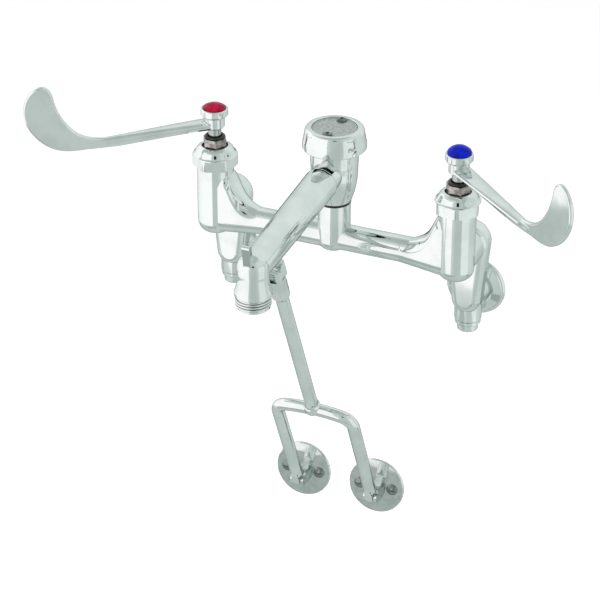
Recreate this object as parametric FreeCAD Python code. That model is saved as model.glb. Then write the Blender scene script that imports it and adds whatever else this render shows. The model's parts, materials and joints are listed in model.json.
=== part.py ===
import FreeCAD, Part
import math
import os

V = FreeCAD.Vector
X_AXIS = V(1, 0, 0)
Z_AXIS = V(0, 0, 1)
ROUND = math.sqrt(0.5)

# A service sink faucet for two inlets on a wall. Each shape is drawn about the centre of the
# manifold, with +X along the wall, +Y into the wall and +Z up. The last step moves every shape so
# that the origin lies on the wall, midway between the two inlets.

# Layout of the faucet
valve_spacing = 203.2
wall_reach = 50.8
spout_reach = 152.4
arm_drop = 50.0
pivot_rise = 2.0

# Clearances
running_gap = 0.06
thread_gap = 0.12
slip_gap = 0.3
face_gap = 0.2

# Mixing body
manifold_radius = 10.5
manifold_bore = 7.0
barrel_radius = 14.6
barrel_top = 42.0
barrel_bottom = -16.0
barrel_round = 10.0
neck_radius = 12.6
neck_height = 8.0
chamber_radius = 10.0
seat_level = 10.0
seat_wall = 3.5
seat_bore = 5.0
supply_radius = 8.5
supply_bottom = -9.0
gusset_start = 58.0
gusset_top = 37.0
gusset_droop = 3.5
gusset_swell = 1.8
gusset_corner = 0.97
passage_inset = 20.0
passage_rise = 11.0
boss_radius = 15.5
boss_reach = 20.0
riser_radius = 12.9
riser_top = 30.0
riser_bottom = -10.5
riser_round = 8.0
riser_bore = 8.0

# Valve tops
nut_flats = 32.0
nut_flank = 10.0
nut_dome = 7.0
nut_hole = 10.1
nut_trim = 2.2
nut_trim_rise = 2.6
nut_lip = 1.4
cartridge_flats = 17.0
cartridge_hex = 6.7
cartridge_flange = 2.0
cartridge_tail = 26.0
cartridge_bevel = 1.0
cartridge_slack = 0.2
cartridge_play = 0.6
cartridge_chamfer = 1.2
stem_radius = 5.2
stem_showing = 8.8
stem_tail = 41.0
socket_radius = 3.5
socket_depth = 9.0
broach_radius = 4.0
broach_height = 9.4
broach_flat = 0.86
stem_bevel = 0.6
ring_major = 6.8
ring_section = 1.2
ring_sunk = 0.5
holder_radius = 7.6
holder_height = 5.0
washer_radius = 7.0
washer_thickness = 2.4
spigot_height = 12.0

# Wrist handles
handle_angle = 38.0
hub_radius = 8.0
hub_height = 10.1
index_radius = 10.7
index_height = 6.0
button_radius = 9.4
button_recess = 2.2
button_edge_drop = 0.4
hot_button_crown = 2.8
cold_button_crown = 4.8
screw_head_radius = 3.6
screw_head_height = 2.2
screw_radius = 2.0
screw_length = 10.0
screw_head_room = 0.6
screw_end_room = 0.5
arm_root_drop = 2.0
arm_end_drop = 8.0
arm_root_width = 14.0
arm_end_width = 3.8
arm_root_height = 7.0
arm_end_height = 5.6
arm_run = 100.0
blade_length = 149.5
blade_thickness = 3.8
blade_round = 1.5
blade_low = 12.4
blade_root = 76.0
blade_peak = 56.2

# Vacuum breaker
seam_thickness = 1.4
seam_radius = 13.3
breaker_root_radius = 13.4
breaker_radius = 18.7
breaker_height = 43.0
breaker_waist = 13.0
breaker_swell = 3.6
breaker_shoulder = 28.0
breaker_straight = 33.0
breaker_bore = 15.0
breaker_floor = 14.0
breaker_ceiling = 39.0
standpipe_radius = 9.6
standpipe_bore = 7.5
standpipe_top = 28.6
front_boss_radius = 12.0
front_boss_reach = 24.0
front_boss_thread = 8.0
frame_plate = 2.5
vent_bore = 8.0
post_radius = 3.9
post_place = 14.3
cap_skirt_radius = 27.2
cap_shoulder_radius = 25.4
cap_bottom = 45.2
cap_top = 63.0
cap_wall = 2.2
plate_radius = 19.4
plate_thickness = 2.4
plate_sunk = 1.2
plate_rim = 1.0
cap_screw_head = 4.0
cap_screw_rise = 1.9
cap_screw_radius = 1.9
cap_screw_length = 12.0
poppet_radius = 10.9
poppet_thickness = 3.0
poppet_stem_radius = 3.0
poppet_stem = 14.0
seal_thickness = 1.2

# Spout
spout_level = 59.3
spout_fall = 4.7
spout_root_radius = 13.2
spout_end_radius = 11.9
spout_root_round = 4.0
spout_bore = 9.3
outlet_bottom = 14.2
outlet_top_radius = 12.2
outlet_collar_radius = 14.2
outlet_collar = 3.0
outlet_waist = 1.4
outlet_waist_rise = 4.5
outlet_bend_drop = 4.0
thread_radius = 12.5
thread_length = 10.5
thread_lead = 0.8
horn_width = 6.0
horn_rise = 9.0
horn_reach = 15.0
lug_thickness = 6.0
lug_radius = 6.4

# Wall brace
brace_place = 116.7
brace_drop = 19.6
brace_tilt = 24.45
brace_pin_radius = 2.6
brace_pin_head = 3.6
brace_pin_head_height = 1.2
ear_thickness = 3.1
ear_radius = 6.6
coupling_flats = 13.6
coupling_start = 12.5
coupling_length = 23.0
coupling_taper = 4.0
coupling_depth = 20.0
rod_radius = 5.2
rod_length = 183.0
brazed_gap = 0.02
rod_bevel = 0.8
rod_end_room = 1.0
fork_half_width = 32.8
fork_leg = 113.4
fork_bar_radius = 5.2
fork_hub_wall = 1.6
fork_hub_flare = 4.0
fork_hub_floor = 1.6
fork_shoulder = 12.0
fork_arch_angle = 11.0
tongue_thickness = 6.0
tongue_radius = 5.2
tongue_length = 12.0
tongue_lap = 3.0

# Foot flanges of the brace
foot_radius = 24.1
foot_rim = 2.4
foot_crown = 1.2
foot_standoff = 10.0
foot_lean = 6.0
foot_ear_drop = 4.7
foot_ear_thickness = 2.6
foot_ear_radius = 4.6
foot_pin_radius = 2.0
foot_screw_place = 14.4
foot_screw_radius = 2.0
foot_screw_shoulder = 2.6
foot_screw_reach = 18.0
foot_screw_point = 4.0
foot_screw_head = 4.7
foot_screw_rise = 2.8
foot_screw_edge = 0.7
foot_screw_slot = 1.0
foot_screw_slot_depth = 1.1
foot_pin_end = 0.8

# Inlet arms with their built-in stops
arm_top_radius = 16.6
arm_low_radius = 11.8
arm_depth = 19.0
arm_edge_round = 6.0
union_washer = 1.0
union_washer_play = 0.1
union_washer_inset = 0.5
spigot_radius = 8.4
spigot_reach = 9.0
passage_radius = 4.8
stop_place = 33.0
stop_radius = 10.8
stop_top = -30.0
stop_bottom = -68.5
stop_bore = 8.8
stop_seat_level = -34.0
inlet_neck_radius = 13.4
inlet_radius = 9.2
flange_radius = 24.6
flange_thickness = 4.2
bonnet_radius = 10.2
bonnet_height = 3.5
bonnet_thread = 6.0
stop_cap_radius = 8.4
stop_cap_height = 6.0
stop_cap_wall = 1.6
spindle_radius = 4.0
spindle_top = 26.0
slot_width = 1.2
slot_depth = 1.6
stop_disc_radius = 7.2
stop_disc_thickness = 3.0
stop_disc_spigot = 2.0
stop_travel = 4.0
stop_play = 0.1
stop_disc_tail = 6.5
stop_socket = 8.0
stop_spindle_room = 0.6

# Places worked out from the sizes above
valve_x = valve_spacing / 2
nut_bottom = barrel_top
nut_top = nut_bottom + nut_flank + nut_dome
flange_level = barrel_top + neck_height
cartridge_top = nut_top + cartridge_hex
stem_top = cartridge_top + stem_showing
hub_top = stem_top + hub_height
button_floor = hub_top + index_height - button_recess
breaker_base = riser_top + seam_thickness
vent_seat = breaker_base + breaker_ceiling
cap_plate_top = breaker_base + cap_top - plate_sunk
ledge_top = cap_plate_top - plate_thickness
fall = math.radians(spout_fall)
spout_axis = V(0, -math.cos(fall), -math.sin(fall))
brace_pivot = V(0, -brace_place, spout_level - brace_place * math.tan(fall) - brace_drop)
tilt = math.radians(brace_tilt)
rod_axis = V(0, math.sin(tilt), -math.cos(tilt))
fork_hub = brace_pivot + rod_axis * rod_length
arm_face = boss_reach + union_washer
inlet_depth = wall_reach - stop_place - stop_disc_radius - 2 * slip_gap
foot_screw_seat = foot_rim + 0.3 * foot_crown
inlet_level = pivot_rise - arm_drop
manifold_in_row = V(0, -wall_reach, -inlet_level)


def path_edges(points):
    """Edges through points of a plane: (a, b) ends a line, (am, bm, a, b) ends an arc."""
    edges = []
    last = points[0]
    for point in points[1:] + [points[0]]:
        start = V(last[-2], 0, last[-1])
        end = V(point[-2], 0, point[-1])
        if (end - start).Length < 1e-6:
            continue
        if len(point) == 4:
            edges.append(Part.Arc(start, V(point[0], 0, point[1]), end).toShape())
        else:
            edges.append(Part.LineSegment(start, end).toShape())
        last = point
    return edges


def section(points):
    """A closed face in the plane of X and Z."""
    return Part.Face(Part.Wire(path_edges(points)))


def turned(points):
    """A solid of revolution about +Z, from a profile of radius and height."""
    return section(points).revolve(V(0, 0, 0), Z_AXIS, 360)


def dome(radius, level, crown):
    """The arc from a rim at one level up to the axis, as a part of a sphere."""
    ball = (radius ** 2 + crown ** 2) / (2 * crown)
    half = math.asin(radius / ball) / 2
    return ball * math.sin(half), level + crown - ball * (1 - math.cos(half)), 0, level + crown


def rod(radius, start, end):
    """A round bar between two points."""
    way = end - start
    return Part.makeCylinder(radius, way.Length, start, way)


def hexagon(flats, level, height):
    """A hexagonal bar about +Z that shows a flat to the front."""
    radius = flats / math.sqrt(3)
    corners = [V(radius * math.cos(math.radians(a)), radius * math.sin(math.radians(a)), level)
               for a in range(0, 361, 60)]
    return Part.Face(Part.makePolygon(corners)).extrude(V(0, 0, height))


def slab(outline, thickness):
    """An outline in the plane of X and Z, thickened evenly to both sides."""
    face = section(outline)
    face.translate(V(0, -thickness / 2, 0))
    return face.extrude(V(0, thickness, 0))


def about_z_from(shape, direction, place):
    """A shape drawn about +Z, turned to point along another direction from a place."""
    turn = FreeCAD.Rotation(Z_AXIS, direction)
    moved = shape.copy()
    moved.Placement = FreeCAD.Placement(place, turn).multiply(moved.Placement)
    return moved


def joined(first, *others):
    """One solid made of several that touch."""
    return first.fuse(list(others)).removeSplitter()


# Mixing body

def gusset_section(x, low, high, half_width):
    """A rounded upright section of the web between manifold and barrel."""
    corner = gusset_corner * min(half_width, (high - low) / 2)
    corners = [(half_width, low, -1, 1), (half_width, high, -1, -1),
               (-half_width, high, 1, -1), (-half_width, low, 1, 1)]
    diagonal = corner * (1 - ROUND)
    edges = []
    ends = []
    for index, (y, z, inward_y, inward_z) in enumerate(corners):
        along_y = V(x, y + inward_y * corner, z)
        along_z = V(x, y, z + inward_z * corner)
        middle = V(x, y + inward_y * diagonal, z + inward_z * diagonal)
        pair = (along_y, along_z) if index % 2 == 0 else (along_z, along_y)
        ends.append((pair[0], middle, pair[1]))
    for index, (start, middle, end) in enumerate(ends):
        edges.append(Part.Arc(start, middle, end).toShape())
        edges.append(Part.LineSegment(end, ends[(index + 1) % 4][0]).toShape())
    return Part.Wire(edges)


def gusset():
    """The web that sweeps up from the manifold to the barrel on the +X side."""
    rise = gusset_top - manifold_radius
    run = valve_x - barrel_radius - gusset_start
    shape = [(0.0, 0.0), (0.45, 0.10), (0.70, 0.34), (0.88, 0.70), (1.0, 0.97), (1.25, 1.04)]
    wires = []
    for along, up in shape:
        low = -manifold_radius - gusset_droop * along
        half_width = manifold_radius + gusset_swell * along
        high = manifold_radius + rise * up
        wires.append(gusset_section(gusset_start + run * along, low, high, half_width))
    return Part.makeLoft(wires, True, False)


def barrel():
    """The upright valve barrel with its rounded foot and threaded neck."""
    round_start = barrel_radius - barrel_round
    return turned([(0, barrel_bottom), (round_start, barrel_bottom),
                   (round_start + barrel_round * ROUND, barrel_bottom + barrel_round * (1 - ROUND),
                    barrel_radius, barrel_bottom + barrel_round),
                   (barrel_radius, barrel_top), (neck_radius, barrel_top),
                   (neck_radius, flange_level), (0, flange_level)])


def barrel_cavity():
    """The chambers above and below the seat, joined by the seat's own bore."""
    return turned([(0, supply_bottom), (supply_radius, supply_bottom),
                   (supply_radius, seat_level - seat_wall), (seat_bore, seat_level - seat_wall),
                   (seat_bore, seat_level), (chamber_radius, seat_level),
                   (chamber_radius, flange_level + 1), (0, flange_level + 1)])


def riser():
    """The round upright in the middle of the manifold, with a rounded foot."""
    inner = riser_radius - riser_round
    return turned([(0, riser_bottom), (inner, riser_bottom),
                   (inner + riser_round * ROUND, riser_bottom + riser_round * (1 - ROUND),
                    riser_radius, riser_bottom + riser_round),
                   (riser_radius, riser_top), (0, riser_top)])


def mixing_body():
    """The casting that carries both valves, the riser and the two arm bosses."""
    outside = rod(manifold_radius, V(-valve_x, 0, 0), V(valve_x, 0, 0))
    reach = valve_x - chamber_radius - passage_inset
    cavities = [rod(manifold_bore, V(-reach, 0, 0), V(reach, 0, 0)),
                Part.makeCylinder(riser_bore, riser_top + 1, V(0, 0, 0), Z_AXIS)]
    solids = [riser()]
    for side in (-1, 1):
        place = V(side * valve_x, 0, 0)
        web = gusset()
        if side < 0:
            web = web.mirror(V(0, 0, 0), X_AXIS)
        boss = rod(boss_radius, place + V(0, 0, pivot_rise), place + V(0, boss_reach, pivot_rise))
        solids += [web, barrel().translated(place), boss]
        cavities.append(barrel_cavity().translated(place))
        cavities.append(rod(spigot_radius + running_gap, place + V(0, 0, pivot_rise),
                            place + V(0, boss_reach + 1, pivot_rise)))
        elbow = V(side * reach, 0, 0)
        outlet = V(side * valve_x, 0, seat_level + passage_rise)
        cavities.append(rod(manifold_bore - 1, elbow, outlet))
        cavities.append(Part.makeSphere(manifold_bore, elbow))
    return outside.fuse(solids).removeSplitter().cut(cavities)


# Valve tops, drawn about the axis of one valve

def bonnet_nut():
    """The hexagonal nut with a domed top that holds the cartridge down."""
    reach = nut_flats / math.sqrt(3)
    dome_start = nut_bottom + nut_flank
    roof = turned([(0, nut_bottom), (reach + 1, nut_bottom), (reach + 1, dome_start - 1.5),
                   (reach - nut_trim, dome_start + nut_trim_rise, nut_hole + nut_lip, nut_top), (0, nut_top)])
    blank = hexagon(nut_flats, nut_bottom, nut_flank + nut_dome).common(roof)
    bore = turned([(0, nut_bottom - 1), (neck_radius + thread_gap, nut_bottom - 1),
                   (neck_radius + thread_gap, flange_level + cartridge_flange + 0.1),
                   (nut_hole, flange_level + cartridge_flange + 0.1),
                   (nut_hole, nut_top + 1), (0, nut_top + 1)])
    return blank.cut(bore)


def cartridge():
    """The valve cartridge: threaded sleeve, flange, neck and hexagon."""
    sleeve = chamber_radius - thread_gap
    tail = flange_level - cartridge_tail
    body = turned([(0, tail), (sleeve - cartridge_chamfer, tail),
                   (sleeve, tail + cartridge_chamfer), (sleeve, flange_level),
                   (neck_radius - cartridge_slack, flange_level),
                   (neck_radius - cartridge_slack, flange_level + cartridge_flange),
                   (nut_hole - cartridge_play, flange_level + cartridge_flange),
                   (nut_hole - cartridge_play, nut_top - 1), (cartridge_flats / 2, nut_top),
                   (0, nut_top)])
    corner = cartridge_flats / math.sqrt(3)
    chamfer = turned([(0, nut_top - 0.5), (corner + 1, nut_top - 0.5),
                      (corner + 1, cartridge_top - cartridge_bevel),
                      (corner - cartridge_bevel, cartridge_top), (0, cartridge_top)])
    head = hexagon(cartridge_flats, nut_top - 0.5, cartridge_hex + 0.5).common(chamfer)
    bore = Part.makeCylinder(stem_radius + running_gap, 200, V(0, 0, -50), Z_AXIS)
    holder_room = Part.makeCylinder(holder_radius + slip_gap, holder_height,
                                    V(0, 0, tail - 1), Z_AXIS)
    return joined(body, head).cut([bore, holder_room, ring_seat()])


def ring_seat():
    """The counterbore in the hexagon that the stem's ring lies in."""
    outer = ring_major + ring_section + thread_gap
    return Part.makeCylinder(outer, ring_sunk + 1, V(0, 0, cartridge_top - ring_sunk), Z_AXIS)


def stem_ring():
    """The black ring on top of the cartridge."""
    level = cartridge_top - ring_sunk + ring_section
    return Part.makeTorus(ring_major, ring_section, V(0, 0, level), Z_AXIS)


def stem():
    """The valve stem, with a socket below and a broached end above."""
    bottom = stem_top - stem_tail - stem_showing
    shaft = turned([(socket_radius, bottom), (stem_radius, bottom), (stem_radius, stem_top - stem_bevel),
                    (stem_radius - stem_bevel, stem_top), (broach_radius, stem_top),
                    (broach_radius, stem_top + broach_height), (0, stem_top + broach_height),
                    (0, bottom + socket_depth), (socket_radius, bottom + socket_depth)])
    tapped = Part.makeCylinder(screw_radius + thread_gap, screw_length + 1,
                               V(0, 0, stem_top + broach_height - screw_length), Z_AXIS)
    flats = Part.makeBox(20, 20, broach_height + 1, V(broach_radius * broach_flat, -10, stem_top))
    other = flats.mirror(V(0, 0, 0), X_AXIS)
    return shaft.cut([tapped, flats, other])


def seat_holder():
    """The holder that slides in the stem's socket and carries the seat washer."""
    bottom = seat_level + washer_thickness
    radius = socket_radius - running_gap
    top = bottom + holder_height
    return turned([(0, bottom), (holder_radius, bottom), (holder_radius, top - 1),
                   (holder_radius - 1, top), (radius, top),
                   (radius, top + spigot_height), (0, top + spigot_height)])


def seat_washer():
    """The rubber washer that closes the seat."""
    return Part.makeCylinder(washer_radius, washer_thickness, V(0, 0, seat_level), Z_AXIS)


# Wrist handles, drawn along +X and turned later

def arm_section(x, level, width, height):
    """A section of the handle's arm: nearly flat on top, rounded below."""
    half = width / 2
    top = level + height / 2
    low = level - height / 2
    crown = 0.12 * height
    side_top = top - 0.22 * height
    points = [V(x, -half, side_top), V(x, 0, top), V(x, half, side_top),
              V(x, half * 0.80, level - 0.18 * height), V(x, half * 0.46, low + crown),
              V(x, 0, low), V(x, -half * 0.46, low + crown), V(x, -half * 0.80, level - 0.18 * height)]
    edges = [Part.Arc(points[0], points[1], points[2]).toShape(),
             Part.Arc(points[2], points[3], points[4]).toShape(),
             Part.Arc(points[4], points[5], points[6]).toShape(),
             Part.Arc(points[6], points[7], points[0]).toShape()]
    return Part.Wire(edges)


def handle_arm():
    """The tapering arm from the hub to the blade."""
    middle = stem_top + hub_height / 2
    wires = []
    for along in (0.0, 0.2, 0.4, 0.6, 0.8, 1.0):
        x = 2 + (arm_run - 2) * along
        drop = arm_root_drop + (arm_end_drop - arm_root_drop) * along ** 1.15
        width = arm_root_width + (arm_end_width - arm_root_width) * along ** 1.1
        height = arm_root_height + (arm_end_height - arm_root_height) * along
        wires.append(arm_section(x, middle - drop, width, height))
    return Part.makeLoft(wires, True, False)


def blade():
    """The upright paddle at the end of the arm, with a round tip and rounded edges."""
    base = stem_top + hub_height / 2 - blade_low
    span = blade_length - blade_root
    outline = [(0.0, 0.018), (0.422, 0.0), (0.66, 0.04), (0.844, 0.20), (0.954, 0.40), (1.0, 0.64),
               (0.956, 0.86), (0.872, 0.97), (0.79, 1.0), (0.714, 0.94), (0.668, 0.76), (0.589, 0.50),
               (0.488, 0.32), (0.355, 0.20), (0.184, 0.15), (0.0, 0.125)]
    rim = Part.BSplineCurve()
    rim.interpolate([V(blade_root + span * along, -blade_thickness / 2, base + blade_peak * up)
                     for along, up in outline])
    start = rim.value(rim.FirstParameter)
    finish = rim.value(rim.LastParameter)
    wire = Part.Wire([rim.toShape(), Part.LineSegment(finish, start).toShape()])
    paddle = Part.Face(wire).extrude(V(0, blade_thickness, 0))
    rims = [edge for edge in paddle.Edges
            if edge.BoundBox.YLength < 1e-6 and edge.BoundBox.XLength > span / 2]
    return paddle.makeFillet(blade_round, rims)


def handle():
    """The hub with its index ring, arm and blade."""
    floor = button_floor
    top = hub_top + index_height
    outside = turned([(0, stem_top), (hub_radius - 0.8, stem_top), (hub_radius, stem_top + 0.8),
                      (hub_radius, hub_top - 1.6), (hub_radius + 0.6, hub_top - 0.5,
                                                    hub_radius + 1.6, hub_top),
                      (index_radius - 0.6, hub_top), (index_radius, hub_top + 0.8),
                      (index_radius, top - 1.0), (index_radius - 0.3, top - 0.3,
                                                  index_radius - 1.0, top), (0, top)])
    room = turned([(0, floor - screw_head_height - screw_head_room),
                   (screw_head_radius + slip_gap, floor - screw_head_height - screw_head_room),
                   (screw_head_radius + slip_gap, floor), (button_radius + thread_gap, floor),
                   (button_radius + thread_gap, top + 1), (0, top + 1)])
    whole = outside.fuse([handle_arm(), blade()])
    broach = Part.makeCylinder(broach_radius + thread_gap, broach_height + thread_gap,
                               V(0, 0, stem_top), Z_AXIS)
    screw_way = Part.makeCylinder(screw_radius + slip_gap, 40, V(0, 0, stem_top), Z_AXIS)
    below = Part.makeCylinder(hub_radius, 10, V(0, 0, stem_top - 10), Z_AXIS)
    return whole.cut([room, broach, screw_way, below])


def handle_screw():
    """The pan-head screw that holds the handle on the stem."""
    level = button_floor - screw_head_height - screw_head_room
    shank = Part.makeCylinder(screw_radius, level - stem_top - broach_height + screw_length - screw_end_room,
                              V(0, 0, stem_top + broach_height - screw_length + screw_end_room), Z_AXIS)
    head = turned([(0, level), (screw_head_radius, level), (screw_head_radius, level + 0.9),
                   dome(screw_head_radius, level + 0.9, screw_head_height - 0.9)])
    slot = Part.makeBox(2 * screw_head_radius + 2, 0.9, 1.2,
                        V(-screw_head_radius - 1, -0.45, level + screw_head_height - 0.9))
    return joined(shank, head).cut(slot)


def index_button(crown):
    """The domed coloured button."""
    floor = button_floor
    edge = hub_top + index_height - button_edge_drop
    return turned([(0, floor), (button_radius, floor), (button_radius, edge),
                   dome(button_radius, edge, crown)])


def placed_handle(shape):
    """A handle piece drawn along +X, turned to its closed position on the cold side."""
    return shape.rotated(V(0, 0, 0), Z_AXIS, -handle_angle)


# Vacuum breaker

def seam_washer():
    """The black washer between riser and breaker."""
    ring = Part.makeCylinder(seam_radius, seam_thickness, V(0, 0, riser_top), Z_AXIS)
    return ring.cut(Part.makeCylinder(riser_bore, seam_thickness + 2, V(0, 0, riser_top - 1), Z_AXIS))


def front_boss():
    """The short horizontal boss that the spout screws onto."""
    start = V(0, 0, spout_level)
    return rod(front_boss_radius, start, start + spout_axis * (front_boss_reach + front_boss_thread))


def breaker_body():
    """The breaker's casting, which widens upwards and holds the poppet chamber."""
    base = breaker_base
    wide = breaker_radius
    outside = turned([(0, base), (breaker_root_radius - 0.6, base), (breaker_root_radius, base + 0.6),
                      (breaker_root_radius + breaker_swell, base + breaker_waist,
                       wide - 0.4, base + breaker_shoulder),
                      (wide, base + breaker_straight), (wide, base + breaker_height),
                      (0, base + breaker_height)])
    chamber = turned([(0, base - 1), (riser_bore, base - 1), (riser_bore, base + 2),
                      (standpipe_bore, base + 4), (standpipe_bore, base + standpipe_top),
                      (standpipe_radius, base + standpipe_top),
                      (standpipe_radius, base + breaker_floor + 2),
                      (standpipe_radius + 1, base + breaker_floor),
                      (breaker_bore - 2, base + breaker_floor),
                      (breaker_bore, base + breaker_floor + 2),
                      (breaker_bore, base + breaker_ceiling),
                      (breaker_bore + 1, base + breaker_ceiling),
                      (breaker_bore + 1, base + breaker_height + 1), (0, base + breaker_height + 1)])
    start = V(0, 0, spout_level)
    way = rod(spout_bore - 1, start + spout_axis * (standpipe_radius + 0.5),
              start + spout_axis * (front_boss_reach + 20))
    return joined(outside, front_boss()).cut([chamber, way])


def vent_frame():
    """The ring with the air seat, and the two posts that carry the cap."""
    level = vent_seat
    top = breaker_base + breaker_height
    radius = breaker_bore + 1 - thread_gap
    ring = turned([(vent_bore, level), (radius, level), (radius, top), (breaker_radius - 0.4, top),
                   (breaker_radius - 0.4, top + frame_plate), (vent_bore + 3, top + frame_plate),
                   (vent_bore, top - 1)])
    posts = [rod(post_radius, V(0, side * post_place, top),
                 V(0, side * post_place, ledge_top - cap_wall)) for side in (-1, 1)]
    holes = [rod(cap_screw_radius + thread_gap, V(0, side * post_place, ledge_top - cap_screw_length),
                 V(0, side * post_place, ledge_top)) for side in (-1, 1)]
    return ring.fuse(posts).cut(holes)


def breaker_cap():
    """The bell-shaped cap: an open skirt, a rounded shoulder and a seat for the plate."""
    low = breaker_base + cap_bottom
    top = breaker_base + cap_top
    inner = plate_radius + thread_gap
    under = ledge_top - cap_wall
    skirt = cap_skirt_radius
    shoulder = cap_shoulder_radius
    return turned([(skirt - cap_wall, low), (skirt - 0.7, low), (skirt, low + 0.8),
                   (skirt + 0.1, low + 3.0, skirt - 0.5, low + 6.0),
                   (shoulder + 0.2, top - 5.0),
                   (shoulder - 1.0, top - 1.4, shoulder - 3.6, top),
                   (inner + 0.4, top), (inner, top - 0.4), (inner, ledge_top),
                   (vent_bore, ledge_top), (vent_bore, under), (shoulder - cap_wall - 3.0, under),
                   (shoulder - cap_wall - 0.8, under - 0.8, shoulder - cap_wall, under - 3.0),
                   (skirt - cap_wall - 0.6, low + 6.0)]).cut(
        [rod(cap_screw_radius + slip_gap, V(0, side * post_place, under - 1),
             V(0, side * post_place, ledge_top + 1)) for side in (-1, 1)])


def breaker_plate():
    """The plain cast plate let into the top of the cap."""
    level = ledge_top
    top = cap_plate_top
    disc = turned([(0, level), (plate_radius, level), (plate_radius, top - 0.5),
                   (plate_radius - 0.3, top), (plate_radius - plate_rim + 0.3, top),
                   (plate_radius - plate_rim, top - 0.5), (0, top - 0.5)])
    return disc.cut([rod(cap_screw_radius + slip_gap, V(0, side * post_place, level - 1),
                         V(0, side * post_place, top + 1)) for side in (-1, 1)])


def breaker_screws():
    """The two screws that hold plate and cap on the posts."""
    level = cap_plate_top - 0.5
    screws = []
    for side in (-1, 1):
        head = turned([(0, level), (cap_screw_head, level), (cap_screw_head, level + 0.8),
                       dome(cap_screw_head, level + 0.8, cap_screw_rise - 0.8)])
        shank = Part.makeCylinder(cap_screw_radius, cap_screw_length,
                                  V(0, 0, level - cap_screw_length), Z_AXIS)
        slot = hexagon(2.6, level + cap_screw_rise - 1.3, 2)
        screws.append(joined(head, shank).cut(slot).translated(V(0, side * post_place, 0)))
    return Part.makeCompound(screws)


def poppet():
    """The poppet: a disc that rests on the standpipe, with a guide stem above."""
    level = breaker_base + standpipe_top
    return turned([(0, level), (poppet_radius, level), (poppet_radius, level + poppet_thickness),
                   (poppet_stem_radius, level + poppet_thickness),
                   (poppet_stem_radius, level + poppet_thickness + poppet_stem - 1),
                   (poppet_stem_radius - 1, level + poppet_thickness + poppet_stem),
                   (0, level + poppet_thickness + poppet_stem)])


def poppet_seal():
    """The rubber ring on the poppet that closes the air seat."""
    level = breaker_base + standpipe_top + poppet_thickness
    ring = Part.makeCylinder(poppet_radius - 0.3, seal_thickness, V(0, 0, level), Z_AXIS)
    return ring.cut(Part.makeCylinder(poppet_stem_radius + thread_gap, 10, V(0, 0, level - 1), Z_AXIS))


# Spout

def outlet_level():
    """Height of the spout's axis where it meets the outlet."""
    return spout_level - spout_reach * math.tan(fall)


def spout_tube():
    """The tapering tube, drawn along +Z from the breaker to the outlet."""
    length = spout_reach / math.cos(fall)
    start = front_boss_reach
    shoulder = spout_root_radius - spout_root_round
    outside = turned([(0, start), (shoulder, start),
                      (shoulder + spout_root_round * ROUND,
                       start + spout_root_round * (1 - ROUND),
                       spout_root_radius, start + spout_root_round),
                      (spout_end_radius, length), (0, length)])
    return about_z_from(outside, spout_axis, V(0, 0, spout_level))


def outlet():
    """The downturned outlet with its collar and the plain land of its hose thread."""
    level = outlet_level()
    bottom = outlet_bottom
    neck = bottom + thread_length
    profile = [(0, bottom), (thread_radius - thread_lead, bottom),
               (thread_radius, bottom + thread_lead), (thread_radius, neck),
               (outlet_collar_radius - 0.6, neck), (outlet_collar_radius, neck + 0.6),
               (outlet_collar_radius, neck + outlet_collar),
               (outlet_collar_radius - outlet_waist, neck + outlet_collar + outlet_waist_rise,
                outlet_top_radius, level - outlet_bend_drop),
               (outlet_top_radius, level),
               dome(outlet_top_radius, level, outlet_top_radius * 0.999)]
    return turned(profile).translated(V(0, -spout_reach, 0))


def horn():
    """The small upturned horn on the outlet that keeps a pail's handle from slipping off."""
    level = outlet_level() + outlet_top_radius
    front = -spout_reach - outlet_top_radius
    face = section([(front + 2.0, level - 8.0), (front + 0.4, level + 0.6, front - 1.4, level + horn_rise),
                    (front + 1.0, level + horn_rise + 2.0, front + 3.4, level + horn_rise - 0.4),
                    (front + 6.0, level + 1.2, front + horn_reach, level - 1.4),
                    (front + horn_reach, level - 8.0)])
    rib = face.extrude(V(0, horn_width, 0)).translated(V(0, -horn_width / 2, 0))
    return rib.rotated(V(0, 0, 0), Z_AXIS, 90)


def lug():
    """The flat lug under the tube that the wall brace hangs on."""
    plate = Part.makeBox(lug_thickness, 2 * lug_radius, brace_drop,
                         V(-lug_thickness / 2, brace_pivot.y - lug_radius, brace_pivot.z))
    eye = rod(lug_radius, brace_pivot - X_AXIS * (lug_thickness / 2),
              brace_pivot + X_AXIS * (lug_thickness / 2))
    return plate.fuse(eye)


def spout():
    """Tube, outlet, horn and lug in one casting, bored through."""
    length = spout_reach / math.cos(fall)
    root = V(0, 0, spout_level)
    bore = rod(spout_bore, root + spout_axis * (front_boss_reach + front_boss_thread),
               root + spout_axis * length)
    socket = rod(front_boss_radius + thread_gap, root + spout_axis * (front_boss_reach - 1),
                 root + spout_axis * (front_boss_reach + front_boss_thread + face_gap))
    bend = V(0, -spout_reach, outlet_level())
    drop = rod(spout_bore, V(0, -spout_reach, outlet_bottom - 1), bend)
    pin_way = rod(brace_pin_radius + running_gap, brace_pivot - X_AXIS * 20, brace_pivot + X_AXIS * 20)
    whole = spout_tube().fuse([outlet(), horn(), lug()])
    return whole.cut([bore, socket, drop, Part.makeSphere(spout_bore, bend), pin_way]).removeSplitter()


# Wall brace, drawn along +Z from its pivot and turned later

def along_rod(shape):
    """A brace piece drawn along +Z from the pivot, turned to the rod's direction."""
    return about_z_from(shape, rod_axis, brace_pivot)


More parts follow.
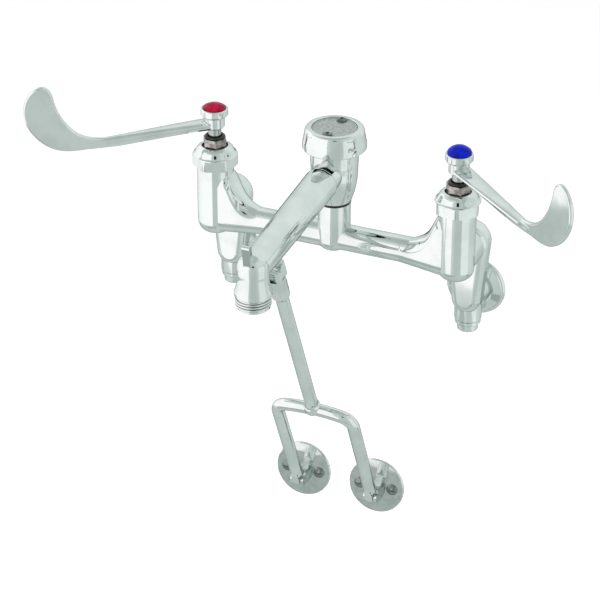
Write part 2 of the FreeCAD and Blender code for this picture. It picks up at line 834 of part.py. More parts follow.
def brace_clevis():
    """Two ears and the hexagonal coupling that the rod screws into."""
    start = coupling_start
    gap = lug_thickness / 2 + face_gap
    body = hexagon(coupling_flats, start, coupling_length)
    corner = coupling_flats / math.sqrt(3)
    end = start + coupling_length
    trim = turned([(0, start), (corner - 1.0, start), (corner + 0.4, start + 1.2),
                   (corner + 0.4, end - coupling_taper), (corner - 0.4 * coupling_taper, end), (0, end)])
    ears = []
    for side in (-1, 1):
        inside = side * gap if side > 0 else side * (gap + ear_thickness)
        ears.append(Part.makeCylinder(ear_radius, ear_thickness, V(inside, 0, 0), X_AXIS))
        ears.append(Part.makeBox(ear_thickness, 2 * ear_radius, start + 1.5,
                                 V(inside, -ear_radius, 0)))
    bore = Part.makeCylinder(rod_radius + running_gap, coupling_depth + 1,
                             V(0, 0, end - coupling_depth), Z_AXIS)
    pin_way = rod(brace_pin_radius + running_gap, V(-20, 0, 0), V(20, 0, 0))
    return body.common(trim).fuse(ears).removeSplitter().cut([bore, pin_way])


def brace_pin():
    """The headed pin through the clevis and the lug."""
    reach = lug_thickness / 2 + face_gap + ear_thickness
    inside = reach + running_gap
    outside = inside + brace_pin_head_height
    shank = rod(brace_pin_radius, V(-inside, 0, 0), V(inside, 0, 0))
    heads = [rod(brace_pin_head, V(side * inside, 0, 0), V(side * outside, 0, 0)) for side in (-1, 1)]
    return joined(shank, *heads)


def brace_rod():
    """The round rod from the coupling down to the fork."""
    start = coupling_start + coupling_length - coupling_depth + rod_end_room
    end = rod_length + fork_bar_radius - fork_hub_floor - face_gap
    return turned([(0, start), (rod_radius - rod_bevel, start), (rod_radius, start + rod_bevel),
                   (rod_radius, end - rod_bevel), (rod_radius - rod_bevel, end), (0, end)])


def fork_path():
    """Centre line of the fork's bent bar, in a plane of sideways and downward distance."""
    arch = math.radians(fork_arch_angle)
    shoulder = fork_shoulder
    centre = fork_half_width - shoulder
    join = centre + shoulder * math.sin(arch)
    arch_radius = join / math.sin(arch)
    drop = arch_radius * (1 - math.cos(arch))
    middle_drop = drop + shoulder * math.cos(arch)
    half = (arch + math.pi / 2) / 2

    def point(x, down):
        return V(x, 0, down)

    bend = (centre + shoulder * math.sin(half), middle_drop - shoulder * math.cos(half))
    end = fork_leg - tongue_length + tongue_lap
    return [Part.LineSegment(point(-fork_half_width, end), point(-fork_half_width, middle_drop)).toShape(),
            Part.Arc(point(-fork_half_width, middle_drop), point(-bend[0], bend[1]),
                     point(-join, drop)).toShape(),
            Part.Arc(point(-join, drop), point(0, 0), point(join, drop)).toShape(),
            Part.Arc(point(join, drop), point(bend[0], bend[1]),
                     point(fork_half_width, middle_drop)).toShape(),
            Part.LineSegment(point(fork_half_width, middle_drop), point(fork_half_width, end)).toShape()]


def brace_fork():
    """The bent bar with two legs, each ending in a flat tongue with an eye."""
    path = Part.Wire(fork_path())
    start = V(-fork_half_width, 0, fork_leg - tongue_length + tongue_lap)
    ring = Part.Wire(Part.Circle(start, V(0, 0, -1), fork_bar_radius).toShape())
    bar = path.makePipeShell([ring], True, False)
    pieces = []
    cuts = []
    for side in (-1, 1):
        x = side * fork_half_width
        half = tongue_thickness / 2
        pieces.append(Part.makeCylinder(tongue_radius, tongue_thickness,
                                        V(x - half, 0, fork_leg), X_AXIS))
        pieces.append(Part.makeBox(tongue_thickness, 2 * tongue_radius, tongue_length,
                                   V(x - half, -tongue_radius, fork_leg - tongue_length)))
        cuts.append(rod(foot_pin_radius + running_gap, V(x - 20, 0, fork_leg),
                        V(x + 20, 0, fork_leg)))
    wide = rod_radius + fork_hub_wall
    top = -fork_bar_radius - fork_hub_flare
    hub = turned([(0, top), (rod_radius + 0.4, top), (rod_radius + 0.7, top + 0.7 * fork_hub_flare,
                                                      wide, top + fork_hub_flare),
                  (wide, 0), dome(wide, 0, fork_bar_radius - 0.1)])
    socket_floor = fork_bar_radius - fork_hub_floor
    socket = Part.makeCylinder(rod_radius + brazed_gap, rod_length,
                               V(0, 0, socket_floor - rod_length), Z_AXIS)
    return about_z_from(bar.fuse(pieces + [hub]).cut(cuts + [socket]), rod_axis, fork_hub)


def foot_pivot(side):
    """Where the pin of one foot flange lies."""
    return fork_hub + rod_axis * fork_leg + X_AXIS * (side * fork_half_width)


def foot_flange(side):
    """A round wall flange with two ears for the fork's tongue."""
    disc = turned([(0, 0), (foot_radius - 0.6, 0), (foot_radius, 0.6), (foot_radius, foot_rim - 0.8),
                   (foot_radius - 0.8, foot_rim), dome(foot_radius - 0.8, foot_rim, foot_crown)])
    gap = tongue_thickness / 2 + face_gap
    rise = foot_standoff + foot_rim
    ears = []
    for way in (-1, 1):
        inside = gap if way > 0 else -gap - foot_ear_thickness
        ears.append(Part.makeCylinder(foot_ear_radius, foot_ear_thickness,
                                      V(inside, -foot_ear_drop, rise), X_AXIS))
        ears.append(Part.makeBox(foot_ear_thickness, 2 * foot_ear_radius, rise,
                                 V(inside, -foot_ear_drop - foot_ear_radius, 0)))
    holes = [Part.makeCylinder(foot_screw_shoulder + face_gap, 20, V(way * foot_screw_place, 0, -5), Z_AXIS)
             for way in (-1, 1)]
    for way in (-1, 1):
        holes.append(Part.makeCylinder(foot_screw_head + slip_gap, 10,
                                       V(way * foot_screw_place, 0, foot_screw_seat), Z_AXIS))
    holes.append(rod(foot_pin_radius + running_gap, V(-20, -foot_ear_drop, rise),
                     V(20, -foot_ear_drop, rise)))
    return placed_foot(disc.fuse(ears).removeSplitter().cut(holes), side)


def foot_normal():
    """The way out of a foot flange's back, towards the wall."""
    lean = math.radians(foot_lean)
    return V(0, math.cos(lean), -math.sin(lean))


def foot_up():
    """The way up along a foot flange's back."""
    lean = math.radians(foot_lean)
    return V(0, math.sin(lean), math.cos(lean))


def foot_back(side):
    """The middle of a foot flange's back."""
    return foot_pivot(side) + foot_normal() * (foot_standoff + foot_rim) + foot_up() * foot_ear_drop


def placed_foot(shape, side):
    """A foot piece drawn with its back on Z = 0, turned to face the room."""
    return about_z_from(shape, foot_normal() * -1, foot_back(side))


def foot_pin(side):
    """The small pin that joins a foot flange to the fork."""
    reach = tongue_thickness / 2 + face_gap + foot_ear_thickness + foot_pin_end
    pin = rod(foot_pin_radius, V(-reach, 0, 0), V(reach, 0, 0))
    return pin.translated(foot_pivot(side))


def foot_screws(side):
    """The two screws that hold a foot flange to the wall."""
    seat = foot_screw_seat
    screws = []
    for way in (-1, 1):
        head = turned([(0, seat), (foot_screw_head, seat), (foot_screw_head, seat + foot_screw_edge),
                       dome(foot_screw_head, seat + foot_screw_edge, foot_screw_rise - foot_screw_edge)])
        shank = turned([(0, -foot_screw_reach), (foot_screw_radius, -foot_screw_reach + foot_screw_point),
                        (foot_screw_radius, -slip_gap), (foot_screw_shoulder, -slip_gap),
                        (foot_screw_shoulder, seat), (0, seat)])
        slot = Part.makeBox(2 * foot_screw_head + 2, foot_screw_slot, 2,
                            V(-foot_screw_head - 1, -foot_screw_slot / 2,
                              seat + foot_screw_rise - foot_screw_slot_depth))
        screws.append(joined(head, shank).cut(slot).translated(V(way * foot_screw_place, 0, 0)))
    return placed_foot(Part.makeCompound(screws), side)


# Inlet arms, drawn about the axis of one valve

def inlet_arm():
    """The offset arm: a rounded upright body with a spigot, a built-in stop and the wall inlet."""
    high = pivot_rise
    low = inlet_level
    outline = [(-arm_top_radius, high), (0, high + arm_top_radius, arm_top_radius, high),
               (arm_low_radius, low), (0, low - arm_low_radius, -arm_low_radius, low)]
    plate = slab(outline, arm_depth).translated(V(0, arm_face + arm_depth / 2, 0))
    rims = [edge for edge in plate.Edges if edge.BoundBox.YMax - edge.BoundBox.YMin < 1e-6]
    plate = plate.makeFillet(arm_edge_round, rims)
    stop = turned([(0, stop_bottom), (stop_radius - 1.0, stop_bottom), (stop_radius, stop_bottom + 1.0),
                   (stop_radius, stop_top - 6.0),
                   (stop_radius - 1.8, stop_top - 1.8, stop_radius - 6.0, stop_top), (0, stop_top)])
    stop.translate(V(0, stop_place, 0))
    neck = rod(inlet_neck_radius, V(0, stop_place, inlet_level), V(0, wall_reach, inlet_level))
    spigot = rod(spigot_radius, V(0, boss_reach - spigot_reach, high), V(0, arm_face + 1, high))
    chamber = Part.makeCylinder(stop_bore, stop_seat_level - stop_bottom + 1,
                                V(0, stop_place, stop_bottom - 1), Z_AXIS)
    passage = rod(passage_radius, V(0, stop_place, stop_seat_level - 1), V(0, stop_place, high))
    forward = rod(passage_radius, V(0, stop_place, high), V(0, 0, high))
    supply = rod(passage_radius + 1, V(0, stop_place, inlet_level), V(0, wall_reach, inlet_level))
    mouth = rod(inlet_radius, V(0, wall_reach - inlet_depth, inlet_level),
                V(0, wall_reach + 1, inlet_level))
    whole = plate.fuse([stop, neck, spigot]).removeSplitter()
    return whole.cut([chamber, passage, forward, supply, mouth,
                      Part.makeSphere(passage_radius, V(0, stop_place, high))])


def union_washer_ring():
    """The washer between an arm and its boss."""
    start = V(0, boss_reach, pivot_rise)
    end = V(0, boss_reach + union_washer - union_washer_play, pivot_rise)
    ring = rod(boss_radius - union_washer_inset, start, end)
    return ring.cut(rod(spigot_radius + slip_gap, V(0, 0, pivot_rise), V(0, 100, pivot_rise)))


def wall_flange():
    """The round flange that covers the hole in the wall."""
    profile = turned([(inlet_neck_radius + thread_gap, 0), (flange_radius - 0.5, 0),
                      (flange_radius, 0.5), (flange_radius - 0.8, 2.0, flange_radius - 3.0, 2.8),
                      (inlet_neck_radius + 2.0, flange_thickness),
                      (inlet_neck_radius + thread_gap, flange_thickness)])
    return about_z_from(profile, V(0, -1, 0), V(0, wall_reach, inlet_level))


def stop_bonnet():
    """The threaded bonnet that closes the stop's bore and guides its spindle."""
    low = stop_bottom - bonnet_height
    shape = turned([(spindle_radius + running_gap, low), (bonnet_radius - 0.6, low),
                    (bonnet_radius, low + 0.6), (bonnet_radius, stop_bottom),
                    (stop_bore - thread_gap, stop_bottom),
                    (stop_bore - thread_gap, stop_bottom + bonnet_thread),
                    (spindle_radius + running_gap, stop_bottom + bonnet_thread)])
    return shape.translated(V(0, stop_place, 0))


def stop_cap():
    """The plain round cap over the end of the spindle."""
    top = stop_bottom - bonnet_height
    low = top - stop_cap_height
    inner = stop_cap_radius - stop_cap_wall
    shape = turned([(0, low), (stop_cap_radius - 1.4, low),
                    (stop_cap_radius - 0.4, low + 0.4, stop_cap_radius, low + 1.4),
                    (stop_cap_radius, top), (inner, top), (inner, low + stop_cap_wall),
                    (0, low + stop_cap_wall)])
    return shape.translated(V(0, stop_place, 0))


def stop_spindle():
    """The slotted spindle that opens and closes the stop."""
    low = stop_bottom - bonnet_height - stop_cap_height + stop_cap_wall + stop_spindle_room
    high = stop_bottom + spindle_top
    shape = turned([(0, low), (spindle_radius - 0.4, low), (spindle_radius, low + 0.4),
                    (spindle_radius, high), (stop_disc_spigot + running_gap, high),
                    (stop_disc_spigot + running_gap, high - stop_socket), (0, high - stop_socket)])
    slot = Part.makeBox(2 * spindle_radius + 2, slot_width, slot_depth + 1,
                        V(-spindle_radius - 1, -slot_width / 2, low - 1))
    return shape.cut(slot).translated(V(0, stop_place, 0))


def stop_disc():
    """The disc that the spindle pushes up against the stop's seat."""
    top = stop_seat_level - stop_travel - stop_play
    low = top - stop_disc_thickness
    tail = low - stop_disc_tail
    shape = turned([(0, tail), (stop_disc_spigot, tail), (stop_disc_spigot, low),
                    (stop_disc_radius, low), (stop_disc_radius, top), (0, top)])
    return shape.translated(V(0, stop_place, 0))


def mirrored(shape):
    """The same piece on the hot side."""
    return shape.mirror(V(0, 0, 0), X_AXIS)


def pieces():
    """Every piece under its own name, about the manifold's centre."""
    shapes = {
        "mixing_body": mixing_body(),
        "seam_washer": seam_washer(),
        "breaker_body": breaker_body(),
        "vent_frame": vent_frame(),
        "breaker_cap": breaker_cap(),
        "breaker_plate": breaker_plate(),
        "breaker_screws": breaker_screws(),
        "poppet": poppet(),
        "poppet_seal": poppet_seal(),
        "spout": spout(),
        "brace_clevis": along_rod(brace_clevis()),
        "brace_pin": along_rod(brace_pin()),
        "brace_rod": along_rod(brace_rod()),
        "brace_fork": brace_fork(),
    }
    at_valve = {
        "bonnet_nut": bonnet_nut(),
        "cartridge": cartridge(),
        "stem_ring": stem_ring(),
        "stem": placed_handle(stem()),
        "handle": placed_handle(handle()),
        "handle_screw": placed_handle(handle_screw()),
        "seat_holder": seat_holder(),
        "seat_washer": seat_washer(),
        "inlet_arm": inlet_arm(),
        "union_washer": union_washer_ring(),
        "wall_flange": wall_flange(),
        "stop_bonnet": stop_bonnet(),
        "stop_cap": stop_cap(),
        "stop_spindle": stop_spindle(),
        "stop_disc": stop_disc(),
    }
    for name, shape in at_valve.items():
        cold = shape.translated(V(valve_x, 0, 0))
        shapes["cold_" + name] = cold
        shapes["hot_" + name] = mirrored(cold)
    shapes["cold_index_button"] = index_button(cold_button_crown).translated(V(valve_x, 0, 0))
    shapes["hot_index_button"] = index_button(hot_button_crown).translated(V(-valve_x, 0, 0))
    for name, side in (("left", -1), ("right", 1)):
        shapes[name + "_foot_flange"] = foot_flange(side)
        shapes[name + "_foot_pin"] = foot_pin(side)
        shapes[name + "_foot_screws"] = foot_screws(side)
    return shapes


def main():
    """Moves every piece into the wall's frame and writes one STEP file for each."""
    os.makedirs("parts", exist_ok=True)
    for name, shape in pieces().items():
        moved = shape.translated(manifold_in_row)
        moved.exportStep("parts/" + name + ".step")


main()
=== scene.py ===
import bmesh
import bpy
import json
import math
from bpy.props import FloatProperty, FloatVectorProperty, IntProperty, PointerProperty
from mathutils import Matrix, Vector

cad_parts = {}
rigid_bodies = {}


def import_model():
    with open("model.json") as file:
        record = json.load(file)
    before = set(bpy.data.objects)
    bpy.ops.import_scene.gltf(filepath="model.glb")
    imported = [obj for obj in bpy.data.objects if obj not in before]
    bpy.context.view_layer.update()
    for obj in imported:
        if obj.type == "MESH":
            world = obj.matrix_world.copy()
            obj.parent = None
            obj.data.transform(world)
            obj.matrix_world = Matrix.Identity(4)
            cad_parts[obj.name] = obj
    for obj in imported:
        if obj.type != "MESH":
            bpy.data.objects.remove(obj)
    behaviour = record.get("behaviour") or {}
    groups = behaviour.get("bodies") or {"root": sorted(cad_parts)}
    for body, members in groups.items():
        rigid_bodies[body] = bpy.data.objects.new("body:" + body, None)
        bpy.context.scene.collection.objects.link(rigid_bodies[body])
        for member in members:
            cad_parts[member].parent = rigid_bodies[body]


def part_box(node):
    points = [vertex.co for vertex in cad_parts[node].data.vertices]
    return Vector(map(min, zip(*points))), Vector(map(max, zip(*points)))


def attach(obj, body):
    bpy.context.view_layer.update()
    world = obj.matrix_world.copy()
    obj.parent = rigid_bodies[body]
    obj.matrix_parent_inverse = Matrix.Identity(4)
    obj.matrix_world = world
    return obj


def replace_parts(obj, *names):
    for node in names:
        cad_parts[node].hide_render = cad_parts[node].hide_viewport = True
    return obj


bl_info = {
    "name": "Service sink faucet",
    "version": (1, 0, 0),
    "blender": (4, 5, 0),
    "location": "View3D > Sidebar > Faucet",
    "description": "Finishes, cap, nuts, buttons, handle arms, hose thread and studio of a service sink faucet",
    "category": "Object",
}

for item in list(bpy.data.objects):
    bpy.data.objects.remove(item)
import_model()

PLATED = ["mixing_body", "breaker_body", "spout", "brace_clevis", "brace_pin", "brace_rod", "brace_fork"]
PLATED += [side + name for side in ("hot_", "cold_")
           for name in ("handle", "inlet_arm", "wall_flange", "stop_bonnet", "stop_cap")]
PLATED += [side + "foot_pin" for side in ("left_", "right_")]
FEET = ["left_foot_flange", "right_foot_flange"]
FOOT_SCREWS = ["left_foot_screws", "right_foot_screws"]
STEMS = ["hot_stem", "cold_stem"]
DULL = [side + "cartridge" for side in ("hot_", "cold_")]
BRASS = [side + name for side in ("hot_", "cold_")
         for name in ("seat_holder", "stop_spindle", "stop_disc", "handle_screw")]
RUBBER = ["seam_washer", "poppet_seal"]
RUBBER += [side + name for side in ("hot_", "cold_") for name in ("stem_ring", "seat_washer", "union_washer")]


def colour(name, default, text):
    """A colour property."""
    return FloatVectorProperty(name=name, description=text, default=default, size=4, min=0, max=1,
                               subtype="COLOR")


def length(name, default, text):
    """A length property in metres."""
    return FloatProperty(name=name, description=text, default=default, unit="LENGTH", precision=5)


def turn_by(name, value, text):
    """An angle property, given in degrees."""
    return FloatProperty(name=name, description=text, default=math.radians(value), subtype="ANGLE")


def whole(name, default, text, least, most):
    """A whole number property."""
    return IntProperty(name=name, description=text, default=default, min=least, max=most)


class FinishSettings(bpy.types.PropertyGroup):
    """Colours and textures of the finishes; some of the colours are painted shade and painted reflection, as marked.
    """
    chrome: colour("Chrome", (0.86, 0.885, 0.88, 1), "Bright plating")
    chrome_shade: colour("Chrome shade", (0.78, 0.81, 0.80, 1), "Plating where it is a little duller")
    edge: colour("Chrome edge", (0.66, 0.70, 0.685, 1), "How the plating darkens where it is seen edge on")
    # Painted reflection, in part: the foot plating is darker than the chrome partly for duller plating on the cast
    # flanges and partly to stand for the darker surroundings that the feet reflect.
    foot: colour("Foot plating", (0.78, 0.815, 0.80, 1), "Plating of the foot flanges and their screws")
    # Painted reflection: the foot screws' heads are chrome, and this dark grey stands for the dark that they
    # reflect.
    painted_screw_reflection: colour("Foot screws", (0.30, 0.325, 0.315, 1), "Darker metal of the foot screws")
    stem: colour("Stem metal", (0.55, 0.56, 0.55, 1), "Turned metal of the stems")
    dull: colour("Cartridge metal", (0.56, 0.51, 0.50, 1), "Unpolished plating on the cartridges")
    dull_shade: colour("Cartridge stain", (0.27, 0.24, 0.235, 1), "Stain on the cartridges")
    brass: colour("Brass", (0.72, 0.60, 0.40, 1), "Plain turned brass")
    plate: colour("Cast plate", (0.52, 0.54, 0.53, 1), "The cast plate on the breaker")
    rubber: colour("Rubber", (0.012, 0.012, 0.013, 1), "Washers and seals")
    rubber_shade: colour("Worn rubber", (0.03, 0.03, 0.03, 1), "Washers and seals where they are greyer")
    plastic: colour("Plastic", (0.82, 0.82, 0.80, 1), "The poppet")
    plastic_shade: colour("Plastic shade", (0.74, 0.74, 0.72, 1), "The poppet where it is duller")
    # Painted shade, in part: this near black is partly the cap's real unplated inside and the vent frame's dark
    # finish, and partly shade painted inside the cap and, on the cartridges, inside the bonnet nuts.
    inside: colour("Inside of the cap", (0.035, 0.032, 0.03, 1), "The unplated inside of the breaker's cap")
    # Painted shade: the dark grey down in the outlet thread's roots, where shade falls in the groove.
    groove: colour("Groove", (0.16, 0.175, 0.17, 1), "Darkness down in grooves and joints")
    # Painted reflection: this near black along the arms' edges stands for the dark that their rounded edges reflect.
    painted_edge_reflection: colour("Arm edge", (0.09, 0.10, 0.097, 1), "Darker metal along the edges of the handles' arms")
    red: colour("Hot button", (0.45, 0.005, 0.042, 1), "Button of the hot handle")
    blue: colour("Cold button", (0.002, 0.014, 0.56, 1), "Button of the cold handle")
    polish: FloatProperty(name="Polish", description="Roughness of the best polished places",
                          default=0.035, min=0, max=1, subtype="FACTOR")
    ripple: length("Ripple", 0.000018, "Depth of the soft ripple left by buffing")


class ThreadSettings(bpy.types.PropertyGroup):
    """Hose thread on the outlet."""
    pitch: length("Pitch", 0.002209, "Distance from crest to crest")
    crest: length("Crest radius", 0.0135, "Radius over the crests")
    root: length("Root radius", 0.01256, "Radius of the groove, just outside the land")
    run: length("Run", 0.0095, "Length of the threaded part")
    start: length("Start", 0.0005, "Distance of the first turn from the outlet's mouth")
    fade: FloatProperty(name="Fade", description="Share of a turn over which the thread runs out at its ends",
                        default=0.3, min=0.05, max=1, subtype="FACTOR")
    reach: length("Outlet axis", 0.2032, "Distance of the outlet's axis from the wall")
    steps: whole("Steps", 96, "Faces round one turn", 12, 256)


class NutSettings(bpy.types.PropertyGroup):
    """Bonnet nuts: hexagonal flats milled into a round domed blank."""
    flats: length("Across flats", 0.032, "Distance between opposite flats")
    round: length("Blank radius", 0.01784, "Radius that the corners are turned down to")
    flank: length("Flank", 0.010, "Height of the flats")
    bore: length("Bore", 0.01272, "Radius of the room for the neck")
    seat: length("Seat", 0.0035, "Height of that room's roof under the top")
    hole: length("Hole", 0.0101, "Radius of the hole in the top")
    hot_turn: turn_by("Hot nut's turn", 23.4, "Bearing of one flat of the hot nut")
    cold_turn: turn_by("Cold nut's turn", 48.4, "Bearing of one flat of the cold nut")
    steps: whole("Steps", 192, "Faces round the nut", 48, 384)


class CapSettings(bpy.types.PropertyGroup):
    """The vacuum breaker's bell cap and the plate let into it."""
    skirt: length("Skirt radius", 0.0249, "Radius of the open skirt")
    shoulder: length("Shoulder radius", 0.0233, "Radius under the rounded shoulder")
    plate: length("Plate radius", 0.0176, "Radius of the plate")
    wall: length("Wall", 0.0022, "Thickness of the cap's wall")
    drop: length("Drop", 0.0008, "How far the top stays under the solid's top")
    sunk: length("Sunk", 0.0007, "How far the plate lies under the cap's rim")
    well: length("Well", 0.0036, "Depth of the recess that the plate lies in")
    vent: length("Vent radius", 0.008, "Radius of the hole under the plate")
    lip: length("Plating's reach", 0.0019, "How far the plating reaches in from the skirt's radius")
    steps: whole("Steps", 192, "Faces round the cap", 48, 384)


class HandleSettings(bpy.types.PropertyGroup):
    """The handles' arms and index buttons, in the frame of one handle whose arm runs along +X."""
    turn: turn_by("Turn", 38, "Turn of a closed handle from the row's line")
    out: length("Stem axis", 0.0508, "Distance of the stems from the wall")
    apart: length("Half spacing", 0.1016, "Distance of each stem from the middle")
    root: length("Arm root width", 0.0142, "Width of the arm at the hub")
    end: length("Arm end width", 0.0041, "Width of the arm in the blade")
    tall: length("Arm height", 0.0070, "Height of the arm at the hub")
    start: length("Arm start", 0.004, "Distance from the stem at which the arm starts")
    run: length("Arm run", 0.102, "Length of the arm's piece, which ends in the blade")
    blade: length("Blade start", 0.1, "Distance from the stem at which the arm has become the blade")
    fall: length("Fall", 0.006, "How far the arm falls on its way to the blade")
    lose: length("Height lost", 0.0014, "How much lower the arm's section is at the blade")
    sink: length("Sink", 0.0006, "How far the arm's piece sinks into the blade at its end")
    hang: length("Hang", 0.0022, "How far the lower edge hangs under the tapered section")
    bevel: length("Bevel", 0.0025, "How far the sides lean in")
    side: length("Side height", 0.0036, "Height of the leaning sides")
    # The width of the strip beside the arm's top that carries the painted dark reflection.
    ridge: length("Ridge", 0.0012, "Width of the darker edge beside the arm's top")
    middle: length("Arm level", 0.1274, "Height of the middle of the hub")
    button: length("Button edge", 0.1382, "Height of the buttons' rims over the frame's origin")
    hot_radius: length("Hot button radius", 0.0090, "Radius of the hot button")
    hot_wall: length("Hot button wall", 0.0012, "How far its wall stands out of the ring")
    hot_crown: length("Hot button crown", 0.0030, "Height of its dome")
    cold_radius: length("Cold button radius", 0.0094, "Radius of the cold button")
    cold_wall: length("Cold button wall", 0.0021, "How far its wall stands out of the ring")
    cold_crown: length("Cold button crown", 0.0046, "Height of its dome")
    sections: whole("Sections", 40, "Sections along the arm", 8, 128)
    steps: whole("Steps", 96, "Faces round a button", 16, 256)


class StageSettings(bpy.types.PropertyGroup):
    """Floor, light tent and lamps."""
    floor_level: length("Floor", -0.62, "Height of the floor")
    floor_size: length("Floor size", 30.0, "Distance from the floor's middle to its edges")
    floor_tint: colour("Floor colour", (0.80, 0.80, 0.80, 1), "The pale floor")
    floor_glow: FloatProperty(name="Floor glow", description="Brightness added to the floor for the camera",
                              default=0.45, min=0)
    key: FloatProperty(name="Overhead power", description="Power of the overhead softbox", default=16,
                       unit="POWER", min=0)
    side: FloatProperty(name="Side power", description="Power of each side softbox", default=7,
                        unit="POWER", min=0)
    ambient: FloatProperty(name="Ambient", description="Even light from all round", default=0.55, min=0)
    bright: colour("Bright panel", (1.0, 1.0, 1.0, 1), "The lit side of the tent, as the plating shows it")
    glow: FloatProperty(name="Panel glow", description="Brightness of the bright panel", default=1.10, min=0)
    reach: length("Panel distance", 0.85, "Distance of the lit panels")
    tent_middle: length("Tent's middle", -0.1, "Where the middle of the tent's panels stands along Y")
    grey: colour("Grey panel", (0.53, 0.60, 0.57, 1), "The side of the tent with the camera")
    pale: colour("Pale panel", (0.68, 0.75, 0.72, 1), "The rest of the tent")
    back: colour("Back panel", (0.79, 0.86, 0.835, 1), "The upper part of the tent's back")
    gap: colour("Gap", (0.05, 0.055, 0.053, 1), "The dark gap low in the tent's back")
    side_panel: colour("Side panel", (0.84, 0.90, 0.88, 1), "The softer lit panel on the other side")
    under: colour("Tent floor", (0.56, 0.63, 0.60, 1), "The tent's floor")
    roof: colour("Tent roof", (0.46, 0.52, 0.49, 1), "The tent's roof")
    opening: length("Lens opening", 0.50, "Width of the dark slit that the camera looks through")
    slit_low: turn_by("Slit's foot", 27, "Rise of the slit's lower edge")
    slit_high: turn_by("Slit's top", 38, "Rise of the slit's upper edge")
    screen: colour("Low screen", (0.44, 0.50, 0.48, 1), "The grey screen in front of the feet")
    edge: colour("Front edge", (0.36, 0.41, 0.39, 1), "The darker edge where the tent meets its floor")
    bar: colour("Dark bar", (0.10, 0.115, 0.11, 1), "The narrow dark bar low on the right")
    dark: colour("Opening", (0.012, 0.013, 0.013, 1), "The dark behind the lens opening")


class CameraSettings(bpy.types.PropertyGroup):
    """The camera of the main view."""
    azimuth: turn_by("Azimuth", 23.4, "Turn about the upright axis")
    elevation: turn_by("Elevation", 29.3, "Height above the horizon")
    distance: length("Distance", 2.0, "Distance from the point that it looks at")
    lens: FloatProperty(name="Lens", description="Focal length in millimetres", default=150.2,
                        subtype="DISTANCE_CAMERA")
    target: FloatVectorProperty(name="Target", description="The point that the camera looks at", size=3,
                                default=(-0.0289, -0.0508, -0.0169), subtype="XYZ", unit="LENGTH")


# Shared shapes

def centre_of(node):
    """The middle of a node's box."""
    low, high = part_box(node)
    return (low + high) / 2


def skin(mesh, rows, closed=True, second=()):
    """Faces between rows of vertices. The places named in second get the second material."""
    for row, following in zip(rows, rows[1:]):
        for index in range(len(row) if closed else len(row) - 1):
            after = (index + 1) % len(row)
            face = mesh.faces.new((row[index], following[index], following[after], row[after]))
            face.material_index = 1 if index in second else 0


def turned(profile, centre, steps, closed=True):
    """A bmesh turned from (radius, level) points round an upright axis. An open profile gets flat ends."""
    mesh = bmesh.new()
    rows = []
    for step in range(steps):
        angle = 2 * math.pi * step / steps
        along, across = math.cos(angle), math.sin(angle)
        rows.append([mesh.verts.new((centre.x + reach * along, centre.y + reach * across, level))
                     for reach, level in profile])
    skin(mesh, rows + rows[:1], closed)
    if not closed:
        for end in (-1, 0):
            mesh.faces.new([row[end] for row in rows])
    return mesh


def bend(first, middle, last, count=6):
    """Points of a soft curve between two points, drawn towards a third."""
    made = []
    for step in range(count + 1):
        share = step / count
        made.append(tuple((1 - share) ** 2 * a + 2 * share * (1 - share) * b + share ** 2 * c
                          for a, b, c in zip(first, middle, last)))
    return made


def finished(mesh, name, body, material, crisp=None):
    """Turns a bmesh into a smooth piece that rides on a body. Edges over so many degrees stay crisp."""
    bmesh.ops.recalc_face_normals(mesh, faces=mesh.faces)
    data = bpy.data.meshes.new(name)
    mesh.to_mesh(data)
    mesh.free()
    for face in data.polygons:
        face.use_smooth = True
    item = bpy.data.objects.new(name, data)
    bpy.context.scene.collection.objects.link(item)
    data.materials.append(material)
    if crisp:
        item.modifiers.new("Edges", "EDGE_SPLIT").split_angle = math.radians(crisp)
    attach(item, body)
    return item


# Shared effects

def shaded(tint, share):
    """A darker form of a colour."""
    return [share * part for part in tint[:3]] + [1]


def group_tree(name, inputs, outputs):
    """An empty shader node group with its sockets."""
    tree = bpy.data.node_groups.new(name, "ShaderNodeTree")
    for label, kind, value in inputs:
        socket = tree.interface.new_socket(label, in_out="INPUT", socket_type=kind)
        if value is not None:
            socket.default_value = value
    for label, kind in outputs:
        tree.interface.new_socket(label, in_out="OUTPUT", socket_type=kind)
    return tree, tree.nodes.new("NodeGroupInput"), tree.nodes.new("NodeGroupOutput")


def feed(links, socket, value):
    """Gives a socket its value, from another socket or as it is."""
    if isinstance(value, bpy.types.NodeSocket):
        links.new(value, socket)
    else:
        socket.default_value = value


def worked(nodes, links, operation, *values, kind="ShaderNodeMath", clamp=False):
    """The result of a math node."""
    made = nodes.new(kind)
    made.operation = operation
    if clamp:
        made.use_clamp = True
    for socket, value in zip(made.inputs, values):
        feed(links, socket, value)
    return made.outputs["Vector" if kind == "ShaderNodeVectorMath" and operation != "LENGTH" else "Value"]


def step_between(nodes, links, value, low, high):
    """A smooth step of a value from 0 to 1."""
    made = nodes.new("ShaderNodeMapRange")
    made.interpolation_type = "SMOOTHSTEP"
    made.inputs["From Min"].default_value = low
    made.inputs["From Max"].default_value = high
    links.new(value, made.inputs["Value"])
    return made.outputs["Result"]


def blend_colours(nodes, links, share, first, second):
    """A mix of two colours, each a socket or plain values."""
    made = nodes.new("ShaderNodeMix")
    made.data_type = "RGBA"
    links.new(share, made.inputs["Factor"])
    feed(links, made.inputs["A"], first)
    feed(links, made.inputs["B"], second)
    return made.outputs["Result"]


